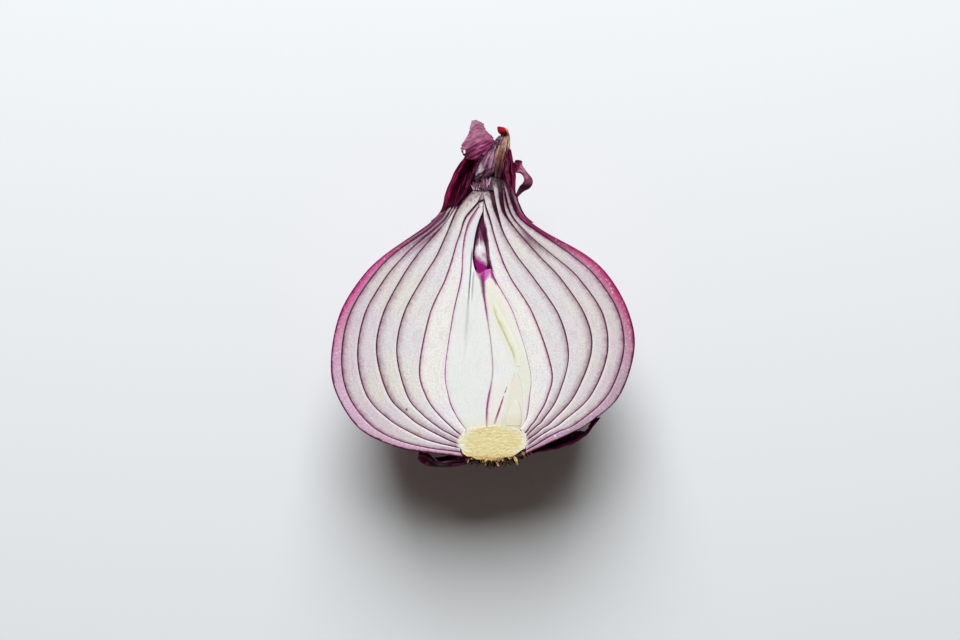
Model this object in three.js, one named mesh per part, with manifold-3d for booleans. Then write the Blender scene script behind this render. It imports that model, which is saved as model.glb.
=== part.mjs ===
import * as THREE from 'three';
import { mergeVertices } from 'three/addons/utils/BufferGeometryUtils.js';
import Module from 'manifold-3d';

const wasm = await Module();
wasm.setup();

// Half a red onion, cut lengthwise, lying on its round back with the cut face up.
// Millimetres. The origin is the middle of the flat spot that it rests on, +Y runs
// from the root plate to the neck, and the cut face is level at z = cutHeight.

const bulbRadius = 38;
const restFlat = 0.9;
const cutHeight = bulbRadius - restFlat;
const gap = 0.3;
const halfGap = gap / 2;
const drySkin = 0.7;
const facetsAround = 12;
const pocketFacets = 14;
const rowsPerStation = 2;

// Each layer line of the cut face has a left and a right outline, given as [x, y] at
// twelve stations from the root plate round the bulb to the neck. Line 0 is the outside
// of the bulb, and line 6 is the wall of the core that holds the two hearts.

const layerLines = [
  {
    left: [[-5.0, -25.2], [-13.6, -24.2], [-22.1, -22.7], [-31.0, -18.0], [-36.6, -9.2], [-38.0, -1.2],
      [-35.9, 10.2], [-30.6, 19.2], [-24.6, 25.2], [-15.6, 31.4], [-11.9, 34.4], [-10.4, 36.2]],
    right: [[10.9, -24.6], [16.0, -22.3], [21.5, -19.6], [26.8, -16.7], [34.2, -10.2], [38.0, 1.2],
      [36.9, 10.2], [32.1, 19.2], [26.1, 25.2], [15.6, 31.2], [10.2, 35.4], [8.0, 41.0]],
  },
  {
    left: [[-5.5, -24.2], [-13.5, -23.0], [-21.5, -21.0], [-28.4, -16.9], [-33.9, -9.3], [-35.4, -0.2],
      [-33.4, 10.2], [-28.1, 19.2], [-22.6, 25.2], [-14.6, 31.0], [-10.9, 34.0], [-9.4, 36.1]],
    right: [[10.9, -23.7], [14.6, -21.6], [19.0, -19.2], [23.9, -16.6], [31.4, -9.8], [35.4, 0.5],
      [34.3, 10.2], [29.1, 19.2], [22.5, 25.2], [13.6, 31.2], [9.0, 35.2], [6.9, 41.0]],
  },
  {
    left: [[-5.6, -23.2], [-11.0, -21.9], [-16.9, -19.8], [-23.4, -16.0], [-29.2, -9.6], [-31.4, 0.0],
      [-29.6, 10.2], [-24.6, 19.2], [-19.6, 25.2], [-13.4, 30.8], [-9.9, 33.8], [-8.4, 36.2]],
    right: [[10.9, -22.7], [13.8, -20.6], [16.9, -18.6], [20.4, -16.3], [27.2, -9.8], [31.3, 0.5],
      [30.3, 10.2], [24.5, 19.2], [17.8, 25.2], [10.8, 31.2], [7.4, 35.4], [5.8, 41.1]],
  },
  {
    left: [[-5.6, -22.2], [-9.4, -20.7], [-13.6, -18.5], [-18.4, -15.4], [-23.6, -9.8], [-26.6, 1.0],
      [-25.1, 10.2], [-20.6, 19.2], [-16.4, 25.2], [-12.0, 30.4], [-9.0, 33.6], [-7.4, 36.4]],
    right: [[10.8, -21.6], [12.9, -19.9], [15.1, -18.2], [17.4, -16.4], [23.2, -9.8], [27.4, 1.2],
      [25.8, 10.2], [19.9, 19.2], [14.2, 25.2], [9.0, 31.0], [6.1, 35.6], [4.7, 41.2]],
  },
  {
    left: [[-5.4, -21.2], [-8.3, -19.5], [-11.4, -17.7], [-14.9, -14.9], [-19.0, -9.8], [-21.6, 0.5],
      [-19.9, 10.2], [-15.1, 19.2], [-11.6, 25.2], [-9.1, 30.4], [-6.4, 36.6], [-2.6, 41.6]],
    right: [[10.7, -20.5], [12.1, -19.0], [13.7, -17.5], [15.4, -15.7], [19.1, -9.9], [21.7, 0.2],
      [19.3, 10.2], [13.1, 19.2], [8.6, 25.2], [5.3, 31.0], [3.6, 35.8], [2.3, 41.5]],
  },
  {
    left: [[-5.1, -20.2], [-6.7, -18.8], [-8.7, -17.0], [-10.9, -14.9], [-14.2, -10.1], [-15.9, -3.2],
      [-13.4, 10.2], [-9.4, 19.2], [-7.4, 25.2], [-5.8, 30.4], [-4.3, 34.8], [-0.9, 38.9]],
    right: [[10.6, -19.5], [11.6, -18.3], [12.7, -17.0], [13.9, -15.2], [16.3, -10.4], [17.5, -3.5],
      [12.9, 10.2], [7.5, 19.2], [4.7, 25.2], [2.9, 30.8], [1.7, 35.2], [0.5, 39.4]],
  },
  {
    left: [[-4.0, -18.6], [-4.9, -17.4], [-5.9, -16.0], [-6.9, -14.4], [-8.5, -10.3], [-9.4, -3.2],
      [-7.4, 10.2], [-5.4, 19.2], [-5.1, 25.2], [-4.4, 30.4], [-3.2, 34.2], [-0.9, 37.3]],
    right: [[9.4, -18.2], [10.3, -17.2], [10.9, -16.0], [11.4, -14.0], [11.8, -10.0], [11.9, -3.5],
      [8.0, 10.2], [3.2, 19.2], [1.6, 24.4], [1.0, 30.0], [0.4, 34.4], [0.1, 37.3]],
  },
];
const stations = layerLines[0].left.length - 1;
const neckStation = stations - 1;

// The line between the two hearts, the left wall of the hollow above it, and the
// right heart's tip, which closes the hollow from below.

const heartDivide = [[1.1, -19.0], [1.1, -14.0], [1.5, -10.5], [2.3, -6.5], [2.6, -3.0], [2.2, 2.8],
  [1.6, 7.2], [1.0, 11.0], [0.3, 15.5], [-0.1, 19.0]];
const hollowWall = [[-0.1, 19.0], [-1.6, 21.0], [-2.4, 24.2], [-2.2, 27.7], [-1.6, 31.2], [-0.8, 34.0],
  [0.1, 36.2], [0.8, 39.0]];
const rightTip = [[-0.1, 19.0], [0.8, 20.6], [2.1, 21.7], [4.5, 22.0]];
const coreMargin = 20;

const sproutLine = {
  left: [[7.9, -2.4], [7.2, 0.7], [4.9, 5.8], [3.0, 10.2], [2.2, 14.6]],
  right: [[9.7, -2.6], [9.5, 0.9], [7.4, 6.2], [4.6, 11.2], [2.6, 15.0]],
};
const budLine = {
  left: [[3.5, -16.5], [5.1, -11.0], [6.6, -7.0], [8.4, -3.4]],
  right: [[9.5, -16.5], [10.6, -12.0], [10.4, -7.4], [8.8, -3.4]],
};
const budCoreLine = {
  left: [[5.6, -16.1], [6.2, -13.4], [7.4, -10.8], [8.3, -9.6]],
  right: [[8.9, -16.1], [9.4, -13.6], [9.2, -11.2], [8.6, -9.5]],
};
const innerTipLine = {
  left: [[-0.8, 20.6], [-1.7, 22.6], [-1.9, 25.0], [-1.5, 27.2], [-0.8, 28.4]],
  right: [[-0.1, 20.6], [0.3, 22.6], [0.4, 25.0], [0.2, 27.2], [-0.6, 28.4]],
};
const innerTipDepth = 1.7;
const innerTipFlatness = 0.75;

// The root plate, and the two faces of the crust of old roots under it.

const plateLine = {
  left: [[2.4, -27.3], [-0.5, -27.0], [-3.0, -26.1], [-4.5, -24.6], [-5.0, -22.8], [-4.8, -20.9],
    [-3.6, -18.9], [-0.5, -17.9], [2.6, -17.65]],
  right: [[2.4, -27.3], [5.2, -26.9], [7.8, -25.9], [9.6, -24.4], [10.4, -22.6], [10.2, -20.6],
    [8.9, -18.6], [5.8, -17.8], [2.6, -17.65]],
};
const crustOuter = {
  left: [[-5.0, -26.4], [-3.6, -27.4], [-1.2, -28.1], [2.2, -28.4]],
  right: [[10.3, -25.7], [8.4, -27.0], [5.6, -28.0], [2.2, -28.4]],
};
const crustInner = {
  left: [[-4.6, -25.7], [-3.2, -26.7], [-1.0, -27.4], [2.2, -27.7]],
  right: [[9.9, -25.1], [7.8, -26.3], [5.2, -27.3], [2.2, -27.7]],
};
const rootCount = 28;
const rootRadius = 0.42;
const rootLengths = [1.0, 2.0];
const strandLength = 3.4;
const strands = [
  { turn: 0.97, direction: [-1, -0.25, -0.15] },
  { turn: 0.64, direction: [-0.5, -0.4, -0.8] },
  { turn: 0.3, direction: [0.7, -0.3, -0.6] },
];

// The dry skins and the shrivelled pieces in the neck.

const neckSkinLine = {
  left: [[-14.0, 34.8], [-11.6, 36.9], [-9.8, 40.2], [-7.9, 43.6], [-6.1, 46.8], [-4.4, 49.8]],
  right: [[13.8, 34.1], [11.1, 36.6], [9.5, 40.2], [8.6, 43.6], [8.2, 47.2], [7.7, 50.2]],
};
const neckTear = { low: 0.07, high: 0.16, teeth: 7 };
const neckLeafLine = {
  left: [[-2.3, 42.3], [-2.3, 45.0], [-1.2, 48.4], [0.6, 51.4], [2.5, 53.6]],
  right: [[2.5, 42.3], [3.2, 45.0], [3.6, 48.4], [3.6, 51.4], [3.0, 53.6]],
};
const neckLeafDepth = 2.6;
const neckLeafFlatness = 0.8;
const neckStubLine = {
  left: [[3.2, 42.0], [3.8, 45.0], [4.1, 48.4], [4.2, 51.4], [4.3, 54.2]],
  right: [[6.0, 42.0], [6.7, 45.0], [6.9, 48.4], [6.8, 51.4], [6.4, 54.2]],
};
const neckStubDepth = 2.0;
const neckTipLine = {
  left: [[4.5, 54.6], [3.7, 55.5], [3.7, 56.6], [4.7, 57.5]],
  right: [[6.1, 54.6], [6.5, 55.6], [6.0, 56.8], [4.9, 57.5]],
};
const flapLine = {
  left: [[-5.3, 48.6], [-5.2, 50.8], [-5.1, 52.8], [-3.6, 55.8], [-2.5, 59.0]],
  right: [[-1.6, 48.0], [0.4, 50.9], [2.6, 54.4], [1.4, 56.3], [0.4, 57.8]],
};
const flapLift = 0.75;
const flapFold = 1.2;
const curlPath = [[8.8, 47.7], [10.6, 47.9], [12.1, 45.6], [12.4, 43.3], [11.6, 41.6], [10.3, 39.8]];
const curlWidths = [1.6, 2.4, 3.0, 3.2, 2.2, 0.7];
const curlLean = 0.9;
const curlDepth = 1.9;

// Sections of a body: the outlines, sampled along their length and grown outwards.

function trace(points, side, rows, grow, from, to, last) {
  const curve = new THREE.SplineCurve(points.map(([x, y]) => new THREE.Vector2(x, y)));
  return Array.from({ length: rows + 1 }, (_, row) => {
    const at = Math.min(THREE.MathUtils.lerp(from, to, row / rows), last);
    const tangent = curve.getTangent(at);
    const outwards = new THREE.Vector2(tangent.y, -tangent.x).multiplyScalar(side * grow);
    return curve.getPoint(at).add(outwards);
  });
}

function sections(line, { grow = 0, rows, from = 0, to = 1, lastLeft = 1 } = {}) {
  const count = rows ?? (line.left.length - 1) * rowsPerStation;
  const left = trace(line.left, -1, count, grow, from, to, lastLeft);
  const right = trace(line.right, 1, count, grow, from, to, 1);
  return left.map((point, row) => ({ left: point, right: right[row] }));
}

// A point of a round section that has the line from its right to its left point as a
// diameter: angle 0 is the right point, and a quarter turn is the bottom.

function onSection({ left, right }, angle, middle = cutHeight, flatness = 1) {
  const turn = (1 - Math.cos(angle)) / 2;
  const radius = left.distanceTo(right) / 2;
  return new THREE.Vector3(
    THREE.MathUtils.lerp(right.x, left.x, turn),
    THREE.MathUtils.lerp(right.y, left.y, turn),
    middle - radius * flatness * Math.sin(angle),
  );
}

// Closed meshes: points are merged, faces that shrink to nothing at a pole are dropped,
// and the rest is turned to face out.

function signedVolume(position, triangles) {
  const [a, b, c] = [new THREE.Vector3(), new THREE.Vector3(), new THREE.Vector3()];
  let volume = 0;
  for (let i = 0; i < triangles.length; i += 3) {
    a.fromBufferAttribute(position, triangles[i]);
    b.fromBufferAttribute(position, triangles[i + 1]);
    c.fromBufferAttribute(position, triangles[i + 2]);
    volume += a.dot(b.cross(c)) / 6;
  }
  return volume;
}

function closedMesh(points, triangles) {
  const loose = new THREE.BufferGeometry();
  loose.setAttribute('position', new THREE.Float32BufferAttribute(points.flatMap((p) => p.toArray()), 3));
  loose.setIndex(triangles);
  const merged = mergeVertices(loose, 1e-3);
  const kept = [];
  for (let i = 0; i < triangles.length; i += 3) {
    const [a, b, c] = [0, 1, 2].map((corner) => merged.index.getX(i + corner));
    if (a !== b && b !== c && c !== a) kept.push(a, b, c);
  }
  if (signedVolume(merged.attributes.position, kept) < 0) kept.reverse();
  merged.setIndex(kept);
  return merged;
}

function quad(a, b, c, d) {
  return [a, b, c, a, c, d];
}

function gridFaces(rows, columns, first = 0) {
  const at = (row, column) => first + row * (columns + 1) + column;
  const faces = [];
  for (let row = 0; row < rows; row += 1) {
    for (let column = 0; column < columns; column += 1) {
      faces.push(...quad(at(row, column), at(row + 1, column), at(row + 1, column + 1), at(row, column + 1)));
    }
  }
  return faces;
}

function gridPoints(place, rows, columns) {
  const points = [];
  for (let row = 0; row <= rows; row += 1) {
    for (let column = 0; column <= columns; column += 1) points.push(place(row, column));
  }
  return points;
}

// A wall between an outer and an inner grid of points.

function wall(outer, inner, rows, columns) {
  const points = [...gridPoints(outer, rows, columns), ...gridPoints(inner, rows, columns)];
  const back = points.length / 2;
  const at = (row, column) => row * (columns + 1) + column;
  const triangles = [...gridFaces(rows, columns), ...gridFaces(rows, columns, back).reverse()];
  const edge = (a, b) => triangles.push(...quad(a, b, b + back, a + back));
  for (let row = 0; row < rows; row += 1) {
    edge(at(row + 1, 0), at(row, 0));
    edge(at(row, columns), at(row + 1, columns));
  }
  for (let column = 0; column < columns; column += 1) {
    edge(at(0, column), at(0, column + 1));
    edge(at(rows, column + 1), at(rows, column));
  }
  return closedMesh(points, triangles);
}

// A half shell between two sets of sections, open at the cut face.

function halfShell(outer, inner, facets = facetsAround) {
  const angle = (column) => (Math.PI * column) / facets;
  return wall(
    (row, column) => onSection(outer[row], angle(column)),
    (row, column) => onSection(inner[row], angle(column)),
    outer.length - 1,
    facets,
  );
}

// A solid body along its sections: half of it, under the cut face, or all round.

function body(along, { span = Math.PI, middle, flatness, facets = facetsAround } = {}) {
  const rows = along.length - 1;
  const at = (row, column) => row * (facets + 1) + column;
  const place = (row, column) => onSection(along[row], (span * column) / facets, middle, flatness);
  const triangles = gridFaces(rows, facets);
  for (let row = 0; row < rows; row += 1) {
    triangles.push(...quad(at(row, 0), at(row, facets), at(row + 1, facets), at(row + 1, 0)));
  }
  for (let column = 1; column < facets; column += 1) {
    triangles.push(at(0, 0), at(0, column), at(0, column + 1));
    triangles.push(at(rows, 0), at(rows, column + 1), at(rows, column));
  }
  return closedMesh(gridPoints(place, rows, facets), triangles);
}

const fullTurn = { span: 2 * Math.PI };

// A thin sheet of dry skin, given by its middle surface.

function sheet(middle, rows, columns, thickness = drySkin) {
  const step = 1e-3;
  const after = (t) => Math.min(t + step, 1);
  const before = (t) => Math.max(t - step, 0);
  const face = (side) => (row, column) => {
    const [u, v] = [column / columns, row / rows];
    const across = middle(after(u), v).sub(middle(before(u), v));
    const along = middle(u, after(v)).sub(middle(u, before(v)));
    const normal = across.cross(along).normalize();
    return middle(u, v).addScaledVector(normal, (side * thickness) / 2);
  };
  return wall(face(1), face(-1), rows, columns);
}

// Cuts and joins.

function solidOf(geometry) {
  const mesh = new wasm.Mesh({
    numProp: 3,
    vertProperties: new Float32Array(geometry.attributes.position.array),
    triVerts: new Uint32Array(geometry.index.array),
  });
  return new wasm.Manifold(mesh);
}

function meshOf(solid) {
  const { vertProperties, triVerts } = solid.getMesh();
  const geometry = new THREE.BufferGeometry();
  geometry.setAttribute('position', new THREE.BufferAttribute(vertProperties, 3));
  geometry.setIndex(new THREE.BufferAttribute(triVerts, 1));
  return geometry;
}

function block(lowest, highest) {
  const size = new THREE.Vector3().subVectors(highest, lowest);
  const geometry = new THREE.BoxGeometry(size.x, size.y, size.z);
  geometry.translate((lowest.x + highest.x) / 2, (lowest.y + highest.y) / 2, (lowest.z + highest.z) / 2);
  return solidOf(bare(geometry));
}

function bare(geometry) {
  geometry.deleteAttribute('normal');
  geometry.deleteAttribute('uv');
  return mergeVertices(geometry, 1e-3);
}

function prism(outline) {
  const shape = new THREE.Shape(outline.map(([x, y]) => new THREE.Vector2(x, y)));
  const geometry = new THREE.ExtrudeGeometry(shape, { depth: cutHeight + 2, bevelEnabled: false });
  geometry.translate(0, 0, -1);
  return solidOf(bare(geometry));
}

function smooth(points, samples, shift) {
  const curve = new THREE.SplineCurve(points.map(([x, y]) => new THREE.Vector2(x, y)));
  return curve.getPoints(samples).map((point) => [point.x + shift, point.y]);
}

// The pocket that a small body sits in, with the gap on every side.

function pocket(line) {
  const grown = solidOf(body(sections(line, { grow: gap }), { ...fullTurn, facets: pocketFacets }));
  return grown.add(grown.translate([0, gap, 0])).add(grown.translate([0, -gap, 0]));
}

// Scales

// On the left, line 4 ends one station early on scale 4: past it, scale 5 stands bare.

function scale(number) {
  const lastLeft = number === 4 ? neckStation / stations : 1;
  const outer = sections(layerLines[number - 1], { grow: -halfGap });
  const inner = sections(layerLines[number], { grow: halfGap, lastLeft });
  return halfShell(outer, inner);
}

// The outermost scale is flat where the onion rests.

function outerScale() {
  const outer = sections(layerLines[0]);
  const inner = sections(layerLines[1], { grow: halfGap });
  const reach = bulbRadius + 5;
  const ground = block(new THREE.Vector3(-reach, -reach, -reach), new THREE.Vector3(reach, reach, 0));
  return meshOf(solidOf(halfShell(outer, inner)).subtract(ground));
}

// Hearts

const core = solidOf(body(sections(layerLines[6], { grow: -halfGap, from: 1 / stations })));
const coreBottom = heartDivide[0][1] - 1;
const coreTop = hollowWall.at(-1)[1] + 1;

function leftHeart() {
  const seam = [...smooth(heartDivide, 10, -halfGap), ...smooth(hollowWall, 10, -halfGap).slice(1)];
  const outline = [...seam, [seam.at(-1)[0], coreTop], [-coreMargin, coreTop], [-coreMargin, coreBottom]];
  return meshOf(core.intersect(prism(outline)));
}

function rightHeart() {
  const seam = [...smooth(heartDivide, 10, halfGap), ...smooth(rightTip, 4, halfGap).slice(1)];
  const outline = [...seam, [coreMargin, rightTip.at(-1)[1]], [coreMargin, coreBottom]];
  return meshOf(core.intersect(prism(outline)).subtract(pocket(sproutLine)).subtract(pocket(budLine)));
}

function sprout() {
  return body(sections(sproutLine));
}

function bud() {
  return meshOf(solidOf(body(sections(budLine))).subtract(pocket(budCoreLine)));
}

function budCore() {
  return body(sections(budCoreLine));
}

function innerTip() {
  return body(sections(innerTipLine), {
    ...fullTurn,
    middle: cutHeight - innerTipDepth,
    flatness: innerTipFlatness,
  });
}

// Root plate and roots

function basalPlate() {
  return body(sections(plateLine));
}

function seededRandom(seed) {
  let state = seed;
  return () => {
    state = (state * 16807) % 2147483647;
    return state / 2147483647;
  };
}

// A root: a bent, tapering strand with four sides.

function root(start, direction, bend, length, radius) {
  const sides = 4;
  const rings = 3;
  const points = [];
  const across = new THREE.Vector3().crossVectors(direction, new THREE.Vector3(0, 0, 1)).normalize();
  const upwards = new THREE.Vector3().crossVectors(across, direction).normalize();
  for (let ring = 0; ring < rings; ring += 1) {
    const part = ring / (rings - 1);
    const middle = start.clone().addScaledVector(direction, length * part).addScaledVector(bend, part * part);
    for (let side = 0; side < sides; side += 1) {
      const angle = (2 * Math.PI * side) / sides;
      const width = radius * (1 - 0.5 * part);
      points.push(middle.clone()
        .addScaledVector(across, width * Math.cos(angle))
        .addScaledVector(upwards, width * Math.sin(angle)));
    }
  }
  const triangles = [];
  for (let ring = 0; ring < rings - 1; ring += 1) {
    for (let side = 0; side < sides; side += 1) {
      const next = (side + 1) % sides;
      const [low, high] = [ring * sides, (ring + 1) * sides];
      triangles.push(...quad(low + side, low + next, high + next, high + side));
    }
  }
  const last = (rings - 1) * sides;
  for (let side = 1; side < sides - 1; side += 1) {
    triangles.push(0, side + 1, side, last, last + side, last + side + 1);
  }
  return solidOf(closedMesh(points, triangles));
}

function roots() {
  const random = seededRandom(41);
  const rows = 6;
  const rim = sections(crustOuter, { rows });
  let cluster = solidOf(halfShell(rim, sections(crustInner, { rows })));
  const plant = (start, direction, bend, length) => {
    const sunk = start.clone().addScaledVector(direction, -rootRadius);
    cluster = cluster.add(root(sunk, direction, bend, length, rootRadius));
  };
  for (let number = 0; number < rootCount; number += 1) {
    const row = Math.floor(THREE.MathUtils.lerp(0, rows, random()));
    const angle = Math.PI * THREE.MathUtils.lerp(0.03, 0.97, number / (rootCount - 1));
    const direction = new THREE.Vector3(
      0.7 * Math.cos(angle) + 0.5 * (random() - 0.5),
      -1 + (0.6 * row) / rows,
      -0.7 * Math.sin(angle) + 0.5 * (random() - 0.5),
    ).normalize();
    const bend = new THREE.Vector3(random() - 0.5, 0.5 * random(), random() - 0.5);
    plant(onSection(rim[row], angle), direction, bend, THREE.MathUtils.lerp(...rootLengths, random()));
  }
  for (const { turn, direction } of strands) {
    const bend = new THREE.Vector3(0, 0.3, 0.3);
    plant(onSection(rim[1], Math.PI * turn), new THREE.Vector3(...direction).normalize(), bend, strandLength);
  }
  const reach = 60;
  const above = block(
    new THREE.Vector3(-reach, -reach, cutHeight),
    new THREE.Vector3(reach, reach, cutHeight + reach),
  );
  return meshOf(cluster.subtract(above));
}

// Dry skins. A base skin hugs the outside of the bulb and springs away from it.

function baseSkin({ from, to, start, end, lift, bulge }) {
  const rows = 8;
  const columns = 6;
  const middle = (u, v) => {
    const ragged = 1 - 0.12 * Math.sin(9 * u + 2);
    const at = THREE.MathUtils.lerp(from, from + (to - from) * ragged, v) / stations;
    const grow = lift + bulge * Math.sin(Math.PI * v) * (1 - 0.5 * u);
    const [section] = sections(layerLines[0], { grow, rows: 1, from: at, to: at });
    return onSection(section, THREE.MathUtils.lerp(start, end, u));
  };
  return sheet(middle, rows, columns);
}

function baseSkinRight() {
  return baseSkin({ from: 0.25, to: 3.3, start: 0.03, end: 1.15, lift: 0.75, bulge: 1.5 });
}

function baseSkinLeft() {
  return baseSkin({
    from: 0.3,
    to: 1.35,
    start: Math.PI - 0.03,
    end: Math.PI - 1.0,
    lift: 0.75,
    bulge: 1.2,
  });
}

function neckSkin() {
  const tooth = (u) => Math.abs((u * neckTear.teeth) % 2 - 1);
  const middle = (u, v) => {
    const low = neckTear.low * tooth(u);
    const high = 1 - neckTear.high * tooth(u + 0.1);
    const at = THREE.MathUtils.lerp(low, high, v);
    const [section] = sections(neckSkinLine, { rows: 1, from: at, to: at });
    return onSection(section, Math.PI * u);
  };
  return sheet(middle, 10, 2 * neckTear.teeth);
}

function neckLeaf() {
  return body(sections(neckLeafLine), {
    ...fullTurn,
    middle: cutHeight - neckLeafDepth,
    flatness: neckLeafFlatness,
    facets: 10,
  });
}

function neckStub() {
  return body(sections(neckStubLine), { ...fullTurn, middle: cutHeight - neckStubDepth, facets: 8 });
}

function neckTip() {
  return body(sections(neckTipLine), { ...fullTurn, middle: cutHeight - neckStubDepth, facets: 8 });
}

function neckFlap() {
  const left = new THREE.SplineCurve(flapLine.left.map(([x, y]) => new THREE.Vector2(x, y)));
  const right = new THREE.SplineCurve(flapLine.right.map(([x, y]) => new THREE.Vector2(x, y)));
  const middle = (u, v) => {
    const point = left.getPoint(v).lerp(right.getPoint(v), u);
    const fold = flapFold * Math.sin(Math.PI * v) * (0.6 + 0.4 * Math.cos(2 * Math.PI * u));
    return new THREE.Vector3(point.x, point.y, cutHeight + flapLift + fold);
  };
  return sheet(middle, 8, 4);
}

function neckCurl() {
  const path = new THREE.SplineCurve(curlPath.map(([x, y]) => new THREE.Vector2(x, y)));
  const middle = (u, v) => {
    const tangent = path.getTangent(v);
    const point = path.getPoint(v);
    const place = v * (curlWidths.length - 1);
    const lower = Math.min(Math.floor(place), curlWidths.length - 2);
    const width = THREE.MathUtils.lerp(curlWidths[lower], curlWidths[lower + 1], place - lower);
    const across = (u - 0.5) * width;
    return new THREE.Vector3(
      point.x + tangent.y * across * Math.cos(curlLean),
      point.y - tangent.x * across * Math.cos(curlLean),
      cutHeight - curlDepth + across * Math.sin(curlLean),
    );
  };
  return sheet(middle, 12, 2);
}

// The onion, put together from its pieces.

const finishes = {
  outerFlesh: { color: 0xc98ab0, roughness: 0.4 },
  flesh: { color: 0xddd3da, roughness: 0.4 },
  heart: { color: 0xe8ead8, roughness: 0.4 },
  sprout: { color: 0xdfe6b4, roughness: 0.45 },
  plate: { color: 0xe2d290, roughness: 0.75 },
  root: { color: 0x8a6a3c, roughness: 0.9 },
  skin: { color: 0x5a1740, roughness: 0.55 },
  driedLeaf: { color: 0x8d6585, roughness: 0.7 },
  stub: { color: 0xa98a66, roughness: 0.8 },
  redTip: { color: 0xa8142a, roughness: 0.4 },
};

const group = new THREE.Group();

function add(name, geometry, finish) {
  const mesh = new THREE.Mesh(geometry, new THREE.MeshStandardMaterial({ ...finishes[finish], metalness: 0 }));
  mesh.name = name;
  group.add(mesh);
}

add('scale_1', outerScale(), 'outerFlesh');
for (let number = 2; number < layerLines.length; number += 1) add(`scale_${number}`, scale(number), 'flesh');
add('heart_left', leftHeart(), 'heart');
add('heart_right', rightHeart(), 'heart');
add('inner_tip', innerTip(), 'heart');
add('sprout', sprout(), 'sprout');
add('bud', bud(), 'heart');
add('bud_core', budCore(), 'heart');
add('basal_plate', basalPlate(), 'plate');
add('roots', roots(), 'root');
add('base_skin_left', baseSkinLeft(), 'skin');
add('base_skin_right', baseSkinRight(), 'skin');
add('neck_skin', neckSkin(), 'skin');
add('neck_leaf', neckLeaf(), 'driedLeaf');
add('neck_stub', neckStub(), 'stub');
add('neck_tip', neckTip(), 'redTip');
add('neck_flap', neckFlap(), 'skin');
add('neck_curl', neckCurl(), 'skin');

export default group;
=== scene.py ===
# Half a red onion, cut lengthwise, lying on its round back with the cut face up.

import math
import random
from contextlib import contextmanager
from functools import lru_cache

import bmesh
import bpy
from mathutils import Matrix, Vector, noise


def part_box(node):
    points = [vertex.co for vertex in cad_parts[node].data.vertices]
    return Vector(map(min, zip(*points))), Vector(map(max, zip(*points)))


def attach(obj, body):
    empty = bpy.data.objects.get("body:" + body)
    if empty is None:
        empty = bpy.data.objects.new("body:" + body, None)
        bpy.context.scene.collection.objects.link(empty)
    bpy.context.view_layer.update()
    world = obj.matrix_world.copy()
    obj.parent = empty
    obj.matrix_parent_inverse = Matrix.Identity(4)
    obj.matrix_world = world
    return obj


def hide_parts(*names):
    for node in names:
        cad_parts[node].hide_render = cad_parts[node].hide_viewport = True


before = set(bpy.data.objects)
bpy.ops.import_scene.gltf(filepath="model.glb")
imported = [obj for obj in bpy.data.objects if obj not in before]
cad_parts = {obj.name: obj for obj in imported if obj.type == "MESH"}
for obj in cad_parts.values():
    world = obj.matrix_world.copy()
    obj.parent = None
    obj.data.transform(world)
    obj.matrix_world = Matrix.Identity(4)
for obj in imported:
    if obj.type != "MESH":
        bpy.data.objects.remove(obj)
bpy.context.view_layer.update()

# Driving sizes, in metres where they are given with MM. The outlines and all other places are in
# millimetres, from the middle of the rest spot, with +Y from the root plate to the neck.

MM = 0.001
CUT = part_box("scale_1")[1].z
RIM_DROP = 0.12 * MM
HALF_GAP = 0.035 * MM
WOBBLE = 0.16 * MM
NECK_DROP = 0.5 * MM
CUT_DEPTH = NECK_DROP + 2.5 * RIM_DROP
SHEATH_CUT_DEPTH = 1.3 * MM
BUD_CROWN = 0.2 * MM
PLATE_LIFT = 0.1 * MM
PLATE_WAVES = 0.14 * MM
PLATE_TEARS = 0.5 * MM
FLAP_THICKNESS = 0.12 * MM
CURL_THICKNESS = 0.14 * MM
BASE_SKIN_THICKNESS = 0.16 * MM

# How finely a scale is divided across its wall, along the onion and round it.
ACROSS = 12
ALONG = 120
AROUND = 84

# The strands: their sides and rings, how many there are, their seeds and their sizes.
STRAND_SIDES = 5
STRAND_RINGS = 4
STRAND_SEED = 300
FIBRE_COUNT = 110
FIBRE_SEED = 5
FIBRE_LENGTHS = (1.2, 2.6)
FIBRE_RADIUS = 0.09 * MM
ROOT_COUNT = 1000
ROOT_SEED = 12
ROOT_SINK = 0.5 * MM
LONG_ROOT_SEED = 900
LONG_ROOT_LENGTH = 3.6 * MM
LONG_ROOT_RADIUS = 0.16 * MM

# The kinds of root: how far up the plate they reach, then their depths, lengths, radii and tints.
ROOT_KINDS = {
    "golden": (0.26, (0.1, 1.0), (0.6, 1.2), (0.25, 0.5), (0.0, 0.52)),
    "thin": (0.40, (0.8, 2.6), (1.8, 3.2), (0.14, 0.26), (0.45, 1.0)),
    "crumb": (0.40, (0.8, 2.6), (1.3, 2.5), (0.4, 0.85), (0.45, 1.0)),
}
LONG_ROOTS = [
    ((-3.6, -25.6, 34.6), (-1.0, -0.35, -0.1)),
    ((-2.0, -26.0, 32.0), (-0.7, -0.5, -0.6)),
    ((6.5, -25.6, 33.0), (0.6, -0.6, -0.5)),
]

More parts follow.
